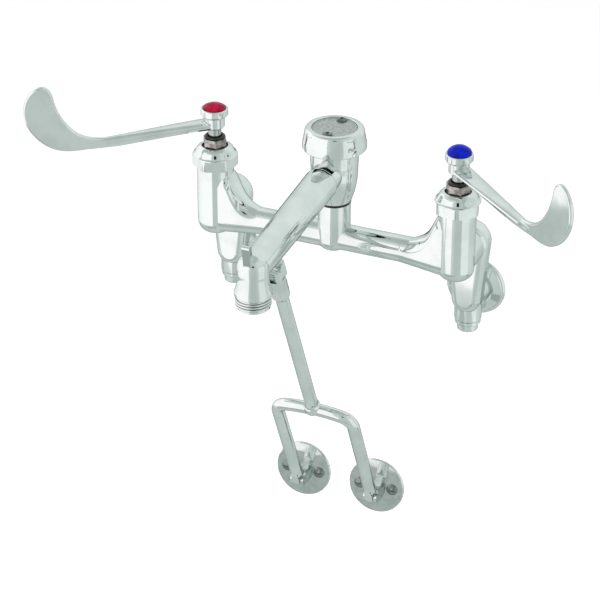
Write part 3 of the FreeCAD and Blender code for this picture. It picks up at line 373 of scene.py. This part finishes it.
def finish_group():
    """Colour, roughness and height of a metal or moulded surface, from two scales of noise."""
    if "Surface finish" in bpy.data.node_groups:
        return bpy.data.node_groups["Surface finish"]
    tree, given, made = group_tree(
        "Surface finish",
        [("Colour", "NodeSocketColor", (0.8, 0.8, 0.8, 1)), ("Shade", "NodeSocketColor", (0.6, 0.6, 0.6, 1)),
         ("Patch Scale", "NodeSocketFloat", 60.0), ("Grain Scale", "NodeSocketFloat", 900.0),
         ("Smooth", "NodeSocketFloat", 0.05), ("Rough", "NodeSocketFloat", 0.12),
         ("Grain", "NodeSocketFloat", 0.2)],
        [("Colour", "NodeSocketColor"), ("Roughness", "NodeSocketFloat"), ("Height", "NodeSocketFloat")])
    nodes, links = tree.nodes, tree.links
    place = nodes.new("ShaderNodeTexCoord")
    patch, grain = nodes.new("ShaderNodeTexNoise"), nodes.new("ShaderNodeTexNoise")
    patch.inputs["Detail"].default_value = 3
    grain.inputs["Detail"].default_value = 5
    for node, label in ((patch, "Patch Scale"), (grain, "Grain Scale")):
        links.new(place.outputs["Object"], node.inputs["Vector"])
        links.new(given.outputs[label], node.inputs["Scale"])
    worn = step_between(nodes, links, patch.outputs["Fac"], 0.36, 0.66)
    tint = blend_colours(nodes, links, worn, given.outputs["Colour"], given.outputs["Shade"])
    rough = nodes.new("ShaderNodeMapRange")
    links.new(worn, rough.inputs["Value"])
    links.new(given.outputs["Smooth"], rough.inputs["To Min"])
    links.new(given.outputs["Rough"], rough.inputs["To Max"])
    height = nodes.new("ShaderNodeMix")
    height.data_type = "FLOAT"
    links.new(given.outputs["Grain"], height.inputs["Factor"])
    links.new(patch.outputs["Fac"], height.inputs["A"])
    links.new(grain.outputs["Fac"], height.inputs["B"])
    links.new(tint, made.inputs["Colour"])
    links.new(rough.outputs["Result"], made.inputs["Roughness"])
    links.new(height.outputs["Result"], made.inputs["Height"])
    return tree


def finish(name, tint, shade, metallic, smooth, rough, patch=60.0, grain_scale=900.0, grain=0.2,
           depth=0.00002, **sockets):
    """A material whose colour, roughness and bump come from the shared finish group."""
    made = bpy.data.materials.new(name)
    made.use_nodes = True
    nodes, links = made.node_tree.nodes, made.node_tree.links
    shader = nodes["Principled BSDF"]
    group = nodes.new("ShaderNodeGroup")
    group.node_tree = finish_group()
    values = {"Colour": tint, "Shade": shade, "Patch Scale": patch, "Grain Scale": grain_scale,
              "Smooth": smooth, "Rough": rough, "Grain": grain}
    for label, value in values.items():
        group.inputs[label].default_value = value
    bump = nodes.new("ShaderNodeBump")
    bump.inputs["Strength"].default_value = 1.0
    bump.inputs["Distance"].default_value = depth
    links.new(group.outputs["Colour"], shader.inputs["Base Color"])
    links.new(group.outputs["Roughness"], shader.inputs["Roughness"])
    links.new(group.outputs["Height"], bump.inputs["Height"])
    links.new(bump.outputs["Normal"], shader.inputs["Normal"])
    shader.inputs["Metallic"].default_value = metallic
    for label, value in sockets.items():
        shader.inputs[label.replace("_", " ")].default_value = value
    return made


def inside_group():
    """Mask of the inside of a bell: all that lies below a level and within a radius of an upright axis."""
    if "Inside of a bell" in bpy.data.node_groups:
        return bpy.data.node_groups["Inside of a bell"]
    tree, given, made = group_tree(
        "Inside of a bell",
        [("Axis", "NodeSocketVector", None), ("Radius", "NodeSocketFloat", 0.025),
         ("Level", "NodeSocketFloat", 0.0), ("Edge", "NodeSocketFloat", 0.0004)],
        [("Mask", "NodeSocketFloat")])
    nodes, links = tree.nodes, tree.links
    place, split = nodes.new("ShaderNodeTexCoord"), nodes.new("ShaderNodeSeparateXYZ")
    links.new(place.outputs["Object"], split.inputs["Vector"])
    vector = "ShaderNodeVectorMath"
    away = worked(nodes, links, "SUBTRACT", place.outputs["Object"], given.outputs["Axis"], kind=vector)
    flat = worked(nodes, links, "MULTIPLY", away, (1, 1, 0), kind=vector)
    reach = worked(nodes, links, "LENGTH", flat, kind=vector)
    parts = []
    for limit, value in (("Radius", reach), ("Level", split.outputs["Z"])):
        short = worked(nodes, links, "SUBTRACT", given.outputs[limit], value)
        parts.append(worked(nodes, links, "DIVIDE", short, given.outputs["Edge"], clamp=True))
    links.new(worked(nodes, links, "MULTIPLY", *parts), made.inputs["Mask"])
    return tree


def mix_over(material, mask, label, value):
    """Mixes a second value over what feeds a socket of a material's shader."""
    nodes, links = material.node_tree.nodes, material.node_tree.links
    socket = nodes["Principled BSDF"].inputs[label]
    mix = nodes.new("ShaderNodeMix")
    mix.data_type = "RGBA" if label == "Base Color" else "FLOAT"
    ports = [port for port in mix.inputs if port.enabled]
    links.new(mask, ports[0])
    feed(links, ports[1], socket.links[0].from_socket if socket.is_linked else socket.default_value)
    feed(links, ports[2], value)
    links.new([port for port in mix.outputs if port.enabled][0], socket)


def darken(material, axis, radius, level, values, edge=0.0004):
    """Mixes values over a material within a radius of an upright axis and below a level."""
    mask = material.node_tree.nodes.new("ShaderNodeGroup")
    mask.node_tree = inside_group()
    for label, value in (("Axis", (axis[0], axis[1], 0)), ("Radius", radius), ("Level", level), ("Edge", edge)):
        mask.inputs[label].default_value = value
    for label, value in values.items():
        mix_over(material, mask.outputs["Mask"], label, value)


def paint(nodes, material):
    """Gives CAD nodes a material."""
    for name in nodes:
        item = bpy.data.objects[name]
        if not item.data.materials:
            item.data.materials.append(material)
        for index in range(len(item.material_slots)):
            item.material_slots[index].link = "OBJECT"
            item.material_slots[index].material = material


def plating(name):
    """Bright plating over a buffed casting, darker where it is seen edge on."""
    look = bpy.context.scene.faucet_finish
    return finish(name, look.chrome, look.chrome_shade, 1.0, look.polish, 2.2 * look.polish, patch=55,
                  grain_scale=420, grain=0.04, depth=look.ripple, Specular_Tint=look.edge)


def chrome_material():
    """The bright plating of most pieces, made once."""
    return bpy.data.materials.get("Chrome") or plating("Chrome")


# Operators, one to a piece or group of like pieces

class FAUCET_OT_chrome(bpy.types.Operator):
    """Give the plated castings, handles, brace, feet and stems their bright metal"""
    bl_idname = "faucet.chrome"
    bl_label = "Chrome"

    def execute(self, context):
        look = context.scene.faucet_finish
        paint(PLATED, chrome_material())
        # Painted reflection, in part: the feet get a darker plating that partly stands for the darker surroundings
        # they reflect.
        for nodes, name, tint in ((FEET, "Foot plating", look.foot), (STEMS, "Stem metal", look.stem),
                                  # Painted reflection: the foot screws get dark metal that stands for the dark their
                                  # chrome heads reflect.
                                  (FOOT_SCREWS, "Foot screw metal", look.painted_screw_reflection)):
            paint(nodes, finish(name, tint, shaded(tint, 0.86), 1.0, look.polish, 3 * look.polish, patch=180,
                                grain_scale=700, grain=0.1, depth=1.4 * look.ripple, Specular_Tint=look.edge))
        return {"FINISHED"}


class FAUCET_OT_breaker_cap(bpy.types.Operator):
    """Plate the breaker's cap outside and make its inside and the frame under it dull and dark, partly their real
    unplated finish and partly painted shade
    """
    bl_idname = "faucet.breaker_cap"
    bl_label = "Breaker cap"

    def execute(self, context):
        dark, size = context.scene.faucet_finish.inside, context.scene.faucet_cap
        cap = plating("Cap plating")
        # Painted shade, in part: within the skirt and below the top the cap turns near black, for its unplated
        # inside and for the shade in the bell.
        darken(cap, centre_of("breaker_cap"), size.skirt - size.lip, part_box("breaker_cap")[1].z - 0.0045,
               {"Base Color": dark, "Roughness": 0.6})
        paint(["breaker_cap"], cap)
        # The vent frame in the bell is near black: a dark finish that also carries painted shade.
        paint(["vent_frame"], finish("Vent frame", dark, shaded(dark, 0.5), 0.6, 0.4, 0.65,
                                     patch=200, grain_scale=1500, grain=0.5, depth=0.00005))
        return {"FINISHED"}


class FAUCET_OT_brass(bpy.types.Operator):
    """Give the cartridges their stained metal, with painted shade where they go down into the bonnet nuts, and the
    inner parts plain brass
    """
    bl_idname = "faucet.brass"
    bl_label = "Cartridges and brass"

    def execute(self, context):
        look = context.scene.faucet_finish
        for node in DULL:
            metal = finish("Metal of " + node, look.dull, look.dull_shade, 0.95, 0.14, 0.32, patch=240,
                           grain_scale=1600, grain=0.5, depth=0.00003)
            low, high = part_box(node)
            nut_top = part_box(node.replace("cartridge", "bonnet_nut"))[1].z
            # Painted shade: below the bonnet nut's top the cartridge turns near black, for the shade inside the nut.
            darken(metal, centre_of(node), high.x - low.x, nut_top + 0.0003, {"Base Color": look.inside})
            paint([node], metal)
        paint(BRASS, finish("Turned brass", look.brass, shaded(look.brass, 0.8), 1.0, 0.16, 0.3,
                            patch=150, grain_scale=2200, grain=0.6, depth=0.00002))
        return {"FINISHED"}


class FAUCET_OT_rubber(bpy.types.Operator):
    """Give washers and seals their black rubber and the poppet its white plastic"""
    bl_idname = "faucet.rubber"
    bl_label = "Rubber and plastic"

    def execute(self, context):
        look = context.scene.faucet_finish
        paint(RUBBER, finish("Black rubber", look.rubber, look.rubber_shade, 0.0, 0.25, 0.5,
                             patch=200, grain_scale=3000, grain=0.6, depth=0.00004))
        paint(["poppet"], finish("White plastic", look.plastic, look.plastic_shade, 0.0, 0.3, 0.45,
                                 patch=90, grain_scale=2500, grain=0.3, depth=0.00002))
        return {"FINISHED"}


class FAUCET_OT_plate(bpy.types.Operator):
    """Give the breaker's plate its grey cast skin and its screws their metal"""
    bl_idname = "faucet.plate"
    bl_label = "Cast plate"

    def execute(self, context):
        tint = context.scene.faucet_finish.plate
        paint(["breaker_plate"], finish("Cast plate", tint, shaded(tint, 0.80), 0.85, 0.34, 0.52,
                                        patch=420, grain_scale=1900, grain=0.6, depth=0.00014))
        paint(["breaker_screws"], finish("Plate screws", shaded(tint, 0.62), shaded(tint, 0.34), 1.0, 0.18, 0.34,
                                         patch=300, grain_scale=1500, grain=0.4, depth=0.00004))
        return {"FINISHED"}


class FAUCET_OT_breaker_top(bpy.types.Operator):
    """Turn the breaker's bell cap and the plate in it, a little narrower than the solids"""
    bl_idname = "faucet.breaker_top"
    bl_label = "Breaker cap and plate"

    def execute(self, context):
        look = context.scene.faucet_cap
        low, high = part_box("breaker_cap")
        top = high.z - look.drop
        self.piece("breaker_bell", "breaker_cap", "chrome", self.bell(look, low.z, top))
        self.piece("breaker_disc", "breaker_plate", "cast_plate", self.disc(look, top))
        return {"FINISHED"}

    def piece(self, name, node, slot, profile):
        """A turned piece in the place of a node, with that node's material."""
        metal = bpy.data.objects[node].material_slots[0].material
        mesh = turned(profile, centre_of("breaker_cap"), bpy.context.scene.faucet_cap.steps)
        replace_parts(finished(mesh, name, "faucet", metal, crisp=32), node)

    def bell(self, look, foot, top):
        """The cap's section: skirt, shoulder, recess for the plate and inside."""
        skirt, neck, well, wall = look.skirt, look.shoulder, look.plate + 0.0001, look.wall
        floor = top - look.well
        under = floor - wall
        profile = [(skirt - wall, foot)] + bend((skirt - 0.0008, foot), (skirt, foot), (skirt, foot + 0.0008))
        profile += bend((skirt, foot + 0.0009), (skirt + 0.0001, foot + 0.0045), (skirt - 0.0006, foot + 0.0065))
        profile += bend((neck + 0.0002, top - 0.0056), (neck - 0.0001, top), (neck - 0.0034, top))
        profile += [(well + 0.0004, top), (well, top - 0.0004), (well, floor), (look.vent, floor),
                    (look.vent, under)]
        profile += bend((neck - wall - 0.003, under), (neck - wall, under), (neck - wall, under - 0.003))
        return profile + [(skirt - wall - 0.0006, foot + 0.006)]

    def disc(self, look, top):
        """The plate's section, with a narrow raised rim."""
        wide, back, face = look.plate, top - look.well + 0.0001, top - look.sunk
        return [(0.0002, back), (wide, back), (wide, face - 0.0005), (wide - 0.0003, face),
                (wide - 0.0008, face), (wide - 0.0011, face - 0.0004), (0.0002, face - 0.0004)]


class FAUCET_OT_buttons(bpy.types.Operator):
    """Make the glossy red and blue index buttons, which stand out of their rings with a domed top"""
    bl_idname = "faucet.buttons"
    bl_label = "Index buttons"

    def execute(self, context):
        look, handle = context.scene.faucet_finish, context.scene.faucet_handle
        for side, tint, slot in (("hot", look.red, "red_button"), ("cold", look.blue, "blue_button")):
            node = side + "_index_button"
            radius, wall, crown = (getattr(handle, side + name) for name in ("_radius", "_wall", "_crown"))
            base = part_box(node)[0].z + 0.0001
            mesh = turned(self.section(base, handle.button + wall, radius, crown), centre_of(node), handle.steps,
                          closed=False)
            gloss = finish(side + " button", tint, shaded(tint, 0.45), 0.0, 0.10, 0.2, patch=150,
                           grain_scale=900, grain=0.2, depth=0.00002, Specular_IOR_Level=0.14)
            item = finished(mesh, side + "_button_dome", side + "_handle_and_stem", gloss)
            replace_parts(item, node)
        return {"FINISHED"}

    def section(self, base, edge, radius, crown, count=12):
        """A button's section: flat bottom, straight wall, rounded edge and domed top."""
        sphere = (radius * radius + crown * crown) / (2 * crown)
        steep = math.asin((radius - 0.0005) / sphere)
        profile = [(0.0002, base), (radius, base), (radius, edge - 0.0006), (radius - 0.00015, edge - 0.0002)]
        for step in range(count, 0, -1):
            rise = steep * step / count
            profile.append((sphere * math.sin(rise), edge - sphere + crown + sphere * math.cos(rise)))
        return profile


class FAUCET_OT_arms(bpy.types.Operator):
    """Give the handles' arms their flat top, bevelled sides and straight lower edge, with a painted dark reflection
    along the edges beside the top
    """
    bl_idname = "faucet.arms"
    bl_label = "Handle arms"

    def execute(self, context):
        look, handle = context.scene.faucet_finish, context.scene.faucet_handle
        # Painted reflection: near-black metal for the arms' edges, standing for the dark that they reflect.
        edge = finish("Arm edge", look.painted_edge_reflection, shaded(look.painted_edge_reflection, 0.7), 1.0, 0.12, 0.25, patch=140,
                      grain_scale=700, grain=0.2)
        for side, hand in (("cold", 1), ("hot", -1)):
            mesh = bmesh.new()
            rows = [[self.place(mesh, handle, hand, point) for point in self.section(handle, step / handle.sections)]
                    for step in range(handle.sections + 1)]
            skin(mesh, rows, second=self.reflection_faces)
            for end in (0, -1):
                mesh.faces.new(rows[end])
            item = finished(mesh, side + "_arm_bevels", side + "_handle_and_stem", chrome_material(),
                            crisp=20)
            item.data.materials.append(edge)
        return {"FINISHED"}

    # The sides of the section that carry the painted dark reflection beside the top
    reflection_faces = (0, 4)

    def section(self, handle, share):
        """The points of the arm's section at a share of its run, from one edge of the top round to the side."""
        along = handle.start + handle.run * share
        out = along / handle.blade
        sink = handle.sink * max(0.0, share - 0.9) / 0.1
        half = (handle.root + (handle.end - handle.root) * min(1.0, out) ** 1.1) / 2 - sink
        drop = 0.002 + handle.fall * out ** 1.15
        tall = handle.tall - handle.lose * out
        level = handle.middle - drop
        top = level + tall / 2 + 0.00008 - sink
        rim = top - 0.16 * tall
        hang = handle.hang * min(1.0, max(0.0, along - 0.020) / 0.056)
        low = level - tall / 2 - hang + 0.0012 * max(0.0, along - 0.078) / 0.028
        lean = min(handle.bevel, 0.42 * half)
        foot = max(low + 0.0006, rim - handle.side)
        edge = half - lean
        inner = edge - min(handle.ridge, 0.3 * half)
        return [(along, across, height) for across, height in (
            (-edge, rim), (-inner, rim + 0.0004), (-0.3 * half, top - 0.0001), (0.3 * half, top - 0.0001),
            (inner, rim + 0.0004), (edge, rim), (half, foot), (0.72 * half, low + 0.0002), (0.4 * half, low),
            (-0.4 * half, low), (-0.72 * half, low + 0.0002), (-half, foot))]

    def place(self, mesh, handle, hand, point):
        """A vertex of an arm, turned to the closed handle of one side."""
        along, across, level = point
        turn = handle.turn
        x = handle.apart + along * math.cos(turn) + across * math.sin(turn)
        y = -handle.out - along * math.sin(turn) + across * math.cos(turn)
        return mesh.verts.new((hand * x, y, level))


class FAUCET_OT_bonnet_nuts(bpy.types.Operator):
    """Make the bonnet nuts with their round domes and milled flats"""
    bl_idname = "faucet.bonnet_nuts"
    bl_label = "Bonnet nuts"

    def execute(self, context):
        nut = context.scene.faucet_nut
        for side, turn in (("hot", nut.hot_turn), ("cold", nut.cold_turn)):
            node = side + "_bonnet_nut"
            mesh = self.shell(nut, turn, *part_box(node))
            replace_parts(finished(mesh, side + "_nut_shell", "faucet", chrome_material(), crisp=24), node)
        return {"FINISHED"}

    # The dome's section: the way in from the blank's radius and the rise over the flats
    dome = [(0.0009, 0.00022), (0.0013, 0.0005), (0.0017, 0.001), (0.0021, 0.0017), (0.0026, 0.0027),
            (0.0031, 0.0037), (0.0037, 0.0046), (0.0045, 0.0055), (0.0055, 0.0062), (0.0064, 0.0067),
            (0.0069, 0.00685)]

    def outline(self, nut, height):
        """Radius and height of the blank's outside, from the bottom to the hole, with where each flat ends."""
        wide, ring = nut.round, nut.flank
        band = [(wide - 0.0009, 0.0), (wide - 0.0003, 0.0003), (wide, 0.0009), (wide, ring - 0.0011),
                (wide, ring - 0.0008), (wide, ring - 0.0004), (wide - 0.00015, ring - 0.00008),
                (wide - 0.0005, ring)]
        band += [(wide - inwards, ring + rise) for inwards, rise in self.dome]
        return band + [(nut.hole + 0.0004, height), (nut.hole, height - 0.0004)]

    def shell(self, nut, turn, low, high):
        """One nut's bmesh, with a flat wherever the hexagon cuts the blank."""
        height = high.z - low.z
        centre = (low + high) / 2
        outside = self.outline(nut, height)
        inside = [(nut.hole, height - nut.seat), (nut.bore, height - nut.seat), (nut.bore, 0.0006),
                  (nut.bore + 0.0006, 0.0)]
        mesh = bmesh.new()
        rows = []
        for step in range(nut.steps):
            angle = 2 * math.pi * step / nut.steps
            across = (angle - turn) % (math.pi / 3)
            flat = nut.flats / 2 / math.cos(min(across, math.pi / 3 - across))
            row = []
            for radius, level in outside:
                reach = min(radius, flat) if level < nut.flank - 0.0009 else radius
                row.append(self.corner(mesh, centre, low.z, angle, reach, level))
            row += [self.corner(mesh, centre, low.z, angle, radius, level) for radius, level in inside]
            rows.append(row)
        skin(mesh, rows + rows[:1])
        return mesh

    def corner(self, mesh, centre, base, angle, reach, level):
        """A vertex at an angle from the camera's side, a radius and a height."""
        return mesh.verts.new((centre.x + reach * math.sin(angle), centre.y - reach * math.cos(angle),
                               base + level))


class FAUCET_OT_outlet_thread(bpy.types.Operator):
    """Cut the hose thread round the outlet's land"""
    bl_idname = "faucet.outlet_thread"
    bl_label = "Outlet thread"

    def execute(self, context):
        thread = context.scene.faucet_thread
        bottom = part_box("spout")[0].z + thread.start
        profile = [(thread.root, 0.0), (thread.crest - 0.00012, 0.28), (thread.crest, 0.36),
                   (thread.crest, 0.52), (thread.crest - 0.00012, 0.60), (thread.root, 0.88), (thread.root, 1.0)]
        turns = (thread.run - thread.pitch) / thread.pitch
        count = int(turns * thread.steps)
        runout = thread.fade * thread.steps
        mesh = bmesh.new()
        rows = []
        for step in range(count + 1):
            angle = 2 * math.pi * step / thread.steps
            fade = min(1.0, step / runout, (count - step) / runout)
            row = []
            for radius, along in profile:
                reach = thread.root + (radius - thread.root) * fade
                level = bottom + thread.pitch * (along + step / thread.steps)
                row.append(mesh.verts.new((reach * math.cos(angle), -thread.reach + reach * math.sin(angle),
                                           level)))
            rows.append(row)
        skin(mesh, rows, closed=False)
        metal = plating("Thread plating")
        # Painted shade: the thread's plating turns dark grey down in its roots, over the threaded run.
        darken(metal, (0, -thread.reach), thread.root + 0.0006, bottom + thread.run,
               {"Base Color": context.scene.faucet_finish.groove}, edge=0.0005)
        finished(mesh, "outlet_thread", "faucet", metal)
        return {"FINISHED"}


# Studio

# The tent's panels: name, distance beyond the lit panels, bearings of both ends in degrees, levels of the lower
# edge at both ends, level of the upper edge, and the setting that holds the colour
PANELS = [("bright_panel", 0.0, (-128, -4), (-0.32, -0.53), 0.85, "bright"),
          ("side_panel", 0.0, (56, 100), (-0.465, -0.465), 0.35, "side_panel"),
          ("front_edge", 0.02, (-60, 20), (-0.85, -0.85), -0.62, "edge"),
          ("low_screen", -0.45, (-60, 6), (-0.60, -0.60), -0.285, "screen"),
          ("dark_bar", -0.02, (107, 117), (-0.78, -0.78), -0.55, "bar")]


def direction(nodes, links):
    """The bearing of a ray as a share of a turn, and its height, in the world's shader."""
    place, split = nodes.new("ShaderNodeTexCoord"), nodes.new("ShaderNodeSeparateXYZ")
    links.new(place.outputs["Generated"], split.inputs["Vector"])
    back = worked(nodes, links, "MULTIPLY", split.outputs["Y"], -1)
    turn = worked(nodes, links, "ARCTAN2", split.outputs["X"], back)
    return worked(nodes, links, "MULTIPLY_ADD", turn, 0.5 / math.pi, 0.5), split.outputs["Z"]


def ramp(nodes, links, value, panels):
    """A colour ramp through panels of place and colour."""
    made = nodes.new("ShaderNodeValToRGB")
    stops = made.color_ramp.elements
    stops[0].color, stops[1].color = panels[0][1], panels[-1][1]
    stops[0].position, stops[1].position = panels[0][0], panels[-1][0]
    for place, tint in panels[1:-1]:
        stops.new(place).color = tint
    links.new(value, made.inputs["Fac"])
    return made.outputs["Color"]


def tent_colour(nodes, links, stage):
    """The light tent by direction: grey in front, pale elsewhere, with a dark gap low at the back.

    Places along the ramps are bearings as shares of a turn, with the wall's side at 0 and 1.
    """
    bearing, height = direction(nodes, links)
    grey, pale = tuple(stage.grey), tuple(stage.pale)
    high = ramp(nodes, links, bearing, [(0.0, stage.back), (0.16, stage.back), (0.22, pale), (0.48, pale),
                                        (0.53, grey), (0.62, grey), (0.68, pale), (0.84, pale), (0.90, stage.back),
                                        (1.0, stage.back)])
    low = ramp(nodes, links, bearing, [(0.0, pale), (0.012, stage.gap), (0.10, stage.gap), (0.125, stage.back),
                                       (0.165, stage.back), (0.19, grey), (0.24, grey), (0.30, pale), (0.48, pale),
                                       (0.53, grey), (0.62, grey), (0.68, pale), (1.0, pale)])
    walls = blend_colours(nodes, links, step_between(nodes, links, height, -0.28, -0.10), low, high)
    rising = step_between(nodes, links, height, 0.76, 0.94)
    falling = step_between(nodes, links, height, -0.52, -0.68)
    roofed = blend_colours(nodes, links, rising, walls, stage.roof)
    return blend_colours(nodes, links, falling, roofed, stage.under)


def surroundings(world, stage):
    """White for the camera, the light tent for reflections and an even light for the rest."""
    world.use_nodes = True
    nodes, links = world.node_tree.nodes, world.node_tree.links
    nodes.clear()
    seen, tent, light = (nodes.new("ShaderNodeBackground") for _ in range(3))
    seen.inputs["Color"].default_value = (1, 1, 1, 1)
    links.new(tent_colour(nodes, links, stage), tent.inputs["Color"])
    light.inputs["Color"].default_value = (1, 1, 1, 1)
    light.inputs["Strength"].default_value = stage.ambient
    path = nodes.new("ShaderNodeLightPath")
    glossy, camera = nodes.new("ShaderNodeMixShader"), nodes.new("ShaderNodeMixShader")
    end = nodes.new("ShaderNodeOutputWorld")
    links.new(path.outputs["Is Glossy Ray"], glossy.inputs["Fac"])
    links.new(light.outputs["Background"], glossy.inputs[1])
    links.new(tent.outputs["Background"], glossy.inputs[2])
    links.new(path.outputs["Is Camera Ray"], camera.inputs["Fac"])
    links.new(glossy.outputs["Shader"], camera.inputs[1])
    links.new(seen.outputs["Background"], camera.inputs[2])
    links.new(camera.outputs["Shader"], end.inputs["Surface"])


def opening(target, view, stage):
    """The dark slit in the tent behind the camera."""
    mesh = bmesh.new()
    forth = Vector((math.sin(view.azimuth), -math.cos(view.azimuth), 0)) * view.distance
    across = Vector((math.cos(view.azimuth), math.sin(view.azimuth), 0)) * stage.opening / 2
    low, high = stage.slit_low, stage.slit_high
    corners = [mesh.verts.new(target + forth + across * side + Vector((0, 0, view.distance * math.tan(rise))))
               for side, rise in ((-1, low), (1, low), (1, high), (-1, high))]
    mesh.faces.new(corners)
    reflected(mesh, "lens_opening", stage.dark, 1.0)


def tent_panel(stage, name, beyond, turn, low, high, tint, count=24):
    """An upright curved panel of the tent between two bearings in degrees."""
    mesh = bmesh.new()
    rows = []
    reach = stage.reach + beyond
    for step in range(count + 1):
        share = step / count
        angle = math.radians(turn[0] + (turn[1] - turn[0]) * share)
        foot = low[0] + (low[1] - low[0]) * share
        rows.append([mesh.verts.new((reach * math.sin(angle), stage.tent_middle - reach * math.cos(angle), level))
                     for level in (foot, high)])
    skin(mesh, rows, closed=False)
    reflected(mesh, name, getattr(stage, tint), stage.glow if tint == "bright" else 1.0)


def reflected(mesh, name, tint, glow):
    """A glowing part of the tent that only reflections see."""
    item = staged(mesh, name, emission(name, tint, glow))
    item.visible_camera = item.visible_shadow = item.visible_diffuse = False


def emission(name, tint, level):
    """A plain glowing material."""
    made = bpy.data.materials.new(name)
    made.use_nodes = True
    nodes = made.node_tree.nodes
    nodes.remove(nodes["Principled BSDF"])
    glow = nodes.new("ShaderNodeEmission")
    glow.inputs["Color"].default_value = tint
    glow.inputs["Strength"].default_value = level
    made.node_tree.links.new(glow.outputs["Emission"], nodes["Material Output"].inputs["Surface"])
    return made


def staged(mesh, name, material):
    """Turns a bmesh into a part of the studio."""
    data = bpy.data.meshes.new(name)
    mesh.to_mesh(data)
    mesh.free()
    data.materials.append(material)
    item = bpy.data.objects.new(name, data)
    bpy.context.scene.collection.objects.link(item)
    return item


def camera_back(view):
    """The way from the target to the camera."""
    return Vector((math.sin(view.azimuth) * math.cos(view.elevation),
                   -math.cos(view.azimuth) * math.cos(view.elevation), math.sin(view.elevation)))


class FAUCET_OT_stage(bpy.types.Operator):
    """Set up the pale floor, the surroundings and the soft lights"""
    bl_idname = "faucet.stage"
    bl_label = "Studio"

    def execute(self, context):
        scene = context.scene
        stage, view = scene.faucet_stage, scene.faucet_camera
        scene.world = bpy.data.worlds.new("Surroundings")
        surroundings(scene.world, stage)
        scene.view_settings.view_transform = "Standard"
        self.floor(stage)
        target = Vector(view.target)
        back = camera_back(view)
        across = Vector((math.cos(view.azimuth), math.sin(view.azimuth), 0))
        self.lamp("overhead_softbox", target, Vector((-0.2, -0.3, 1.6)), 1.6, 1.2, stage.key)
        self.lamp("left_softbox", target, -1.5 * across + 0.7 * back + Vector((0, 0, 0.4)), 0.9, 1.3, stage.side)
        self.lamp("right_softbox", target, 1.5 * across + 0.3 * back + Vector((0, 0, 0.5)), 0.7, 1.3,
                  0.8 * stage.side)
        opening(target, view, stage)
        for panel in PANELS:
            tent_panel(stage, *panel)
        return {"FINISHED"}

    def floor(self, stage):
        """A large pale floor, a little brighter for the camera, that keeps the shadow."""
        mesh = bmesh.new()
        corners = [mesh.verts.new((x * stage.floor_size, y * stage.floor_size, stage.floor_level))
                   for x, y in ((-1, -1), (1, -1), (1, 1), (-1, 1))]
        mesh.faces.new(corners)
        made = bpy.data.materials.new("Floor")
        made.use_nodes = True
        nodes, links = made.node_tree.nodes, made.node_tree.links
        shader = nodes["Principled BSDF"]
        shader.inputs["Base Color"].default_value = stage.floor_tint
        shader.inputs["Roughness"].default_value = 0.9
        glow, add = nodes.new("ShaderNodeEmission"), nodes.new("ShaderNodeAddShader")
        path = nodes.new("ShaderNodeLightPath")
        strength = worked(nodes, links, "MULTIPLY", path.outputs["Is Camera Ray"], stage.floor_glow)
        links.new(strength, glow.inputs["Strength"])
        links.new(shader.outputs["BSDF"], add.inputs[0])
        links.new(glow.outputs["Emission"], add.inputs[1])
        links.new(add.outputs["Shader"], nodes["Material Output"].inputs["Surface"])
        staged(mesh, "floor", made).visible_glossy = False

    def lamp(self, name, aim, away, width, height, power):
        """A soft rectangular lamp some way off a point that it looks at."""
        data = bpy.data.lights.new(name, "AREA")
        data.shape = "RECTANGLE"
        data.size, data.size_y = width, height
        data.energy = power
        item = bpy.data.objects.new(name, data)
        item.location = aim + away
        item.rotation_euler = (-away).to_track_quat("-Z", "Y").to_euler()
        item.visible_glossy = False
        bpy.context.scene.collection.objects.link(item)


class FAUCET_OT_camera(bpy.types.Operator):
    """Place the camera of the main view"""
    bl_idname = "faucet.camera"
    bl_label = "Camera"

    def execute(self, context):
        view = context.scene.faucet_camera
        data = bpy.data.cameras.new("main_camera")
        data.lens = view.lens
        data.sensor_width = 36
        data.clip_start, data.clip_end = 0.05, 50
        item = bpy.data.objects.new("main_camera", data)
        back = camera_back(view)
        item.location = Vector(view.target) + back * view.distance
        item.rotation_euler = (-back).to_track_quat("-Z", "Y").to_euler()
        context.scene.collection.objects.link(item)
        context.scene.camera = item
        return {"FINISHED"}


class FAUCET_PT_panel(bpy.types.Panel):
    """Steps that finish the faucet"""
    bl_idname = "FAUCET_PT_panel"
    bl_label = "Service sink faucet"
    bl_space_type = "VIEW_3D"
    bl_region_type = "UI"
    bl_category = "Faucet"

    def draw(self, context):
        for step in STEPS:
            self.layout.operator(step.bl_idname)
        for group in SETTINGS:
            settings = getattr(context.scene, group)
            box = self.layout.box()
            for name in settings.__annotations__:
                box.prop(settings, name)


STEPS = [FAUCET_OT_chrome, FAUCET_OT_breaker_cap, FAUCET_OT_brass, FAUCET_OT_rubber, FAUCET_OT_plate,
         FAUCET_OT_breaker_top, FAUCET_OT_buttons, FAUCET_OT_arms, FAUCET_OT_bonnet_nuts,
         FAUCET_OT_outlet_thread, FAUCET_OT_stage, FAUCET_OT_camera]
SETTINGS = {"faucet_finish": FinishSettings, "faucet_thread": ThreadSettings, "faucet_cap": CapSettings,
            "faucet_handle": HandleSettings, "faucet_nut": NutSettings, "faucet_stage": StageSettings,
            "faucet_camera": CameraSettings}


def register():
    """Registers the settings, operators and panel."""
    for kind in SETTINGS.values():
        bpy.utils.register_class(kind)
    for kind in STEPS + [FAUCET_PT_panel]:
        bpy.utils.register_class(kind)
    for name, kind in SETTINGS.items():
        setattr(bpy.types.Scene, name, PointerProperty(type=kind))


def unregister():
    """Takes the add-on away again."""
    for name in SETTINGS:
        delattr(bpy.types.Scene, name)
    for kind in [FAUCET_PT_panel] + STEPS[::-1] + list(SETTINGS.values()):
        bpy.utils.unregister_class(kind)


def main():
    """Builds the looks step by step."""
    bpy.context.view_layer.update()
    register()
    for step in STEPS:
        group, name = step.bl_idname.split(".")
        result = getattr(getattr(bpy.ops, group), name)()
        if result != {"FINISHED"}:
            raise RuntimeError(step.bl_label + " did not finish")


if __name__ == "__main__":
    main()
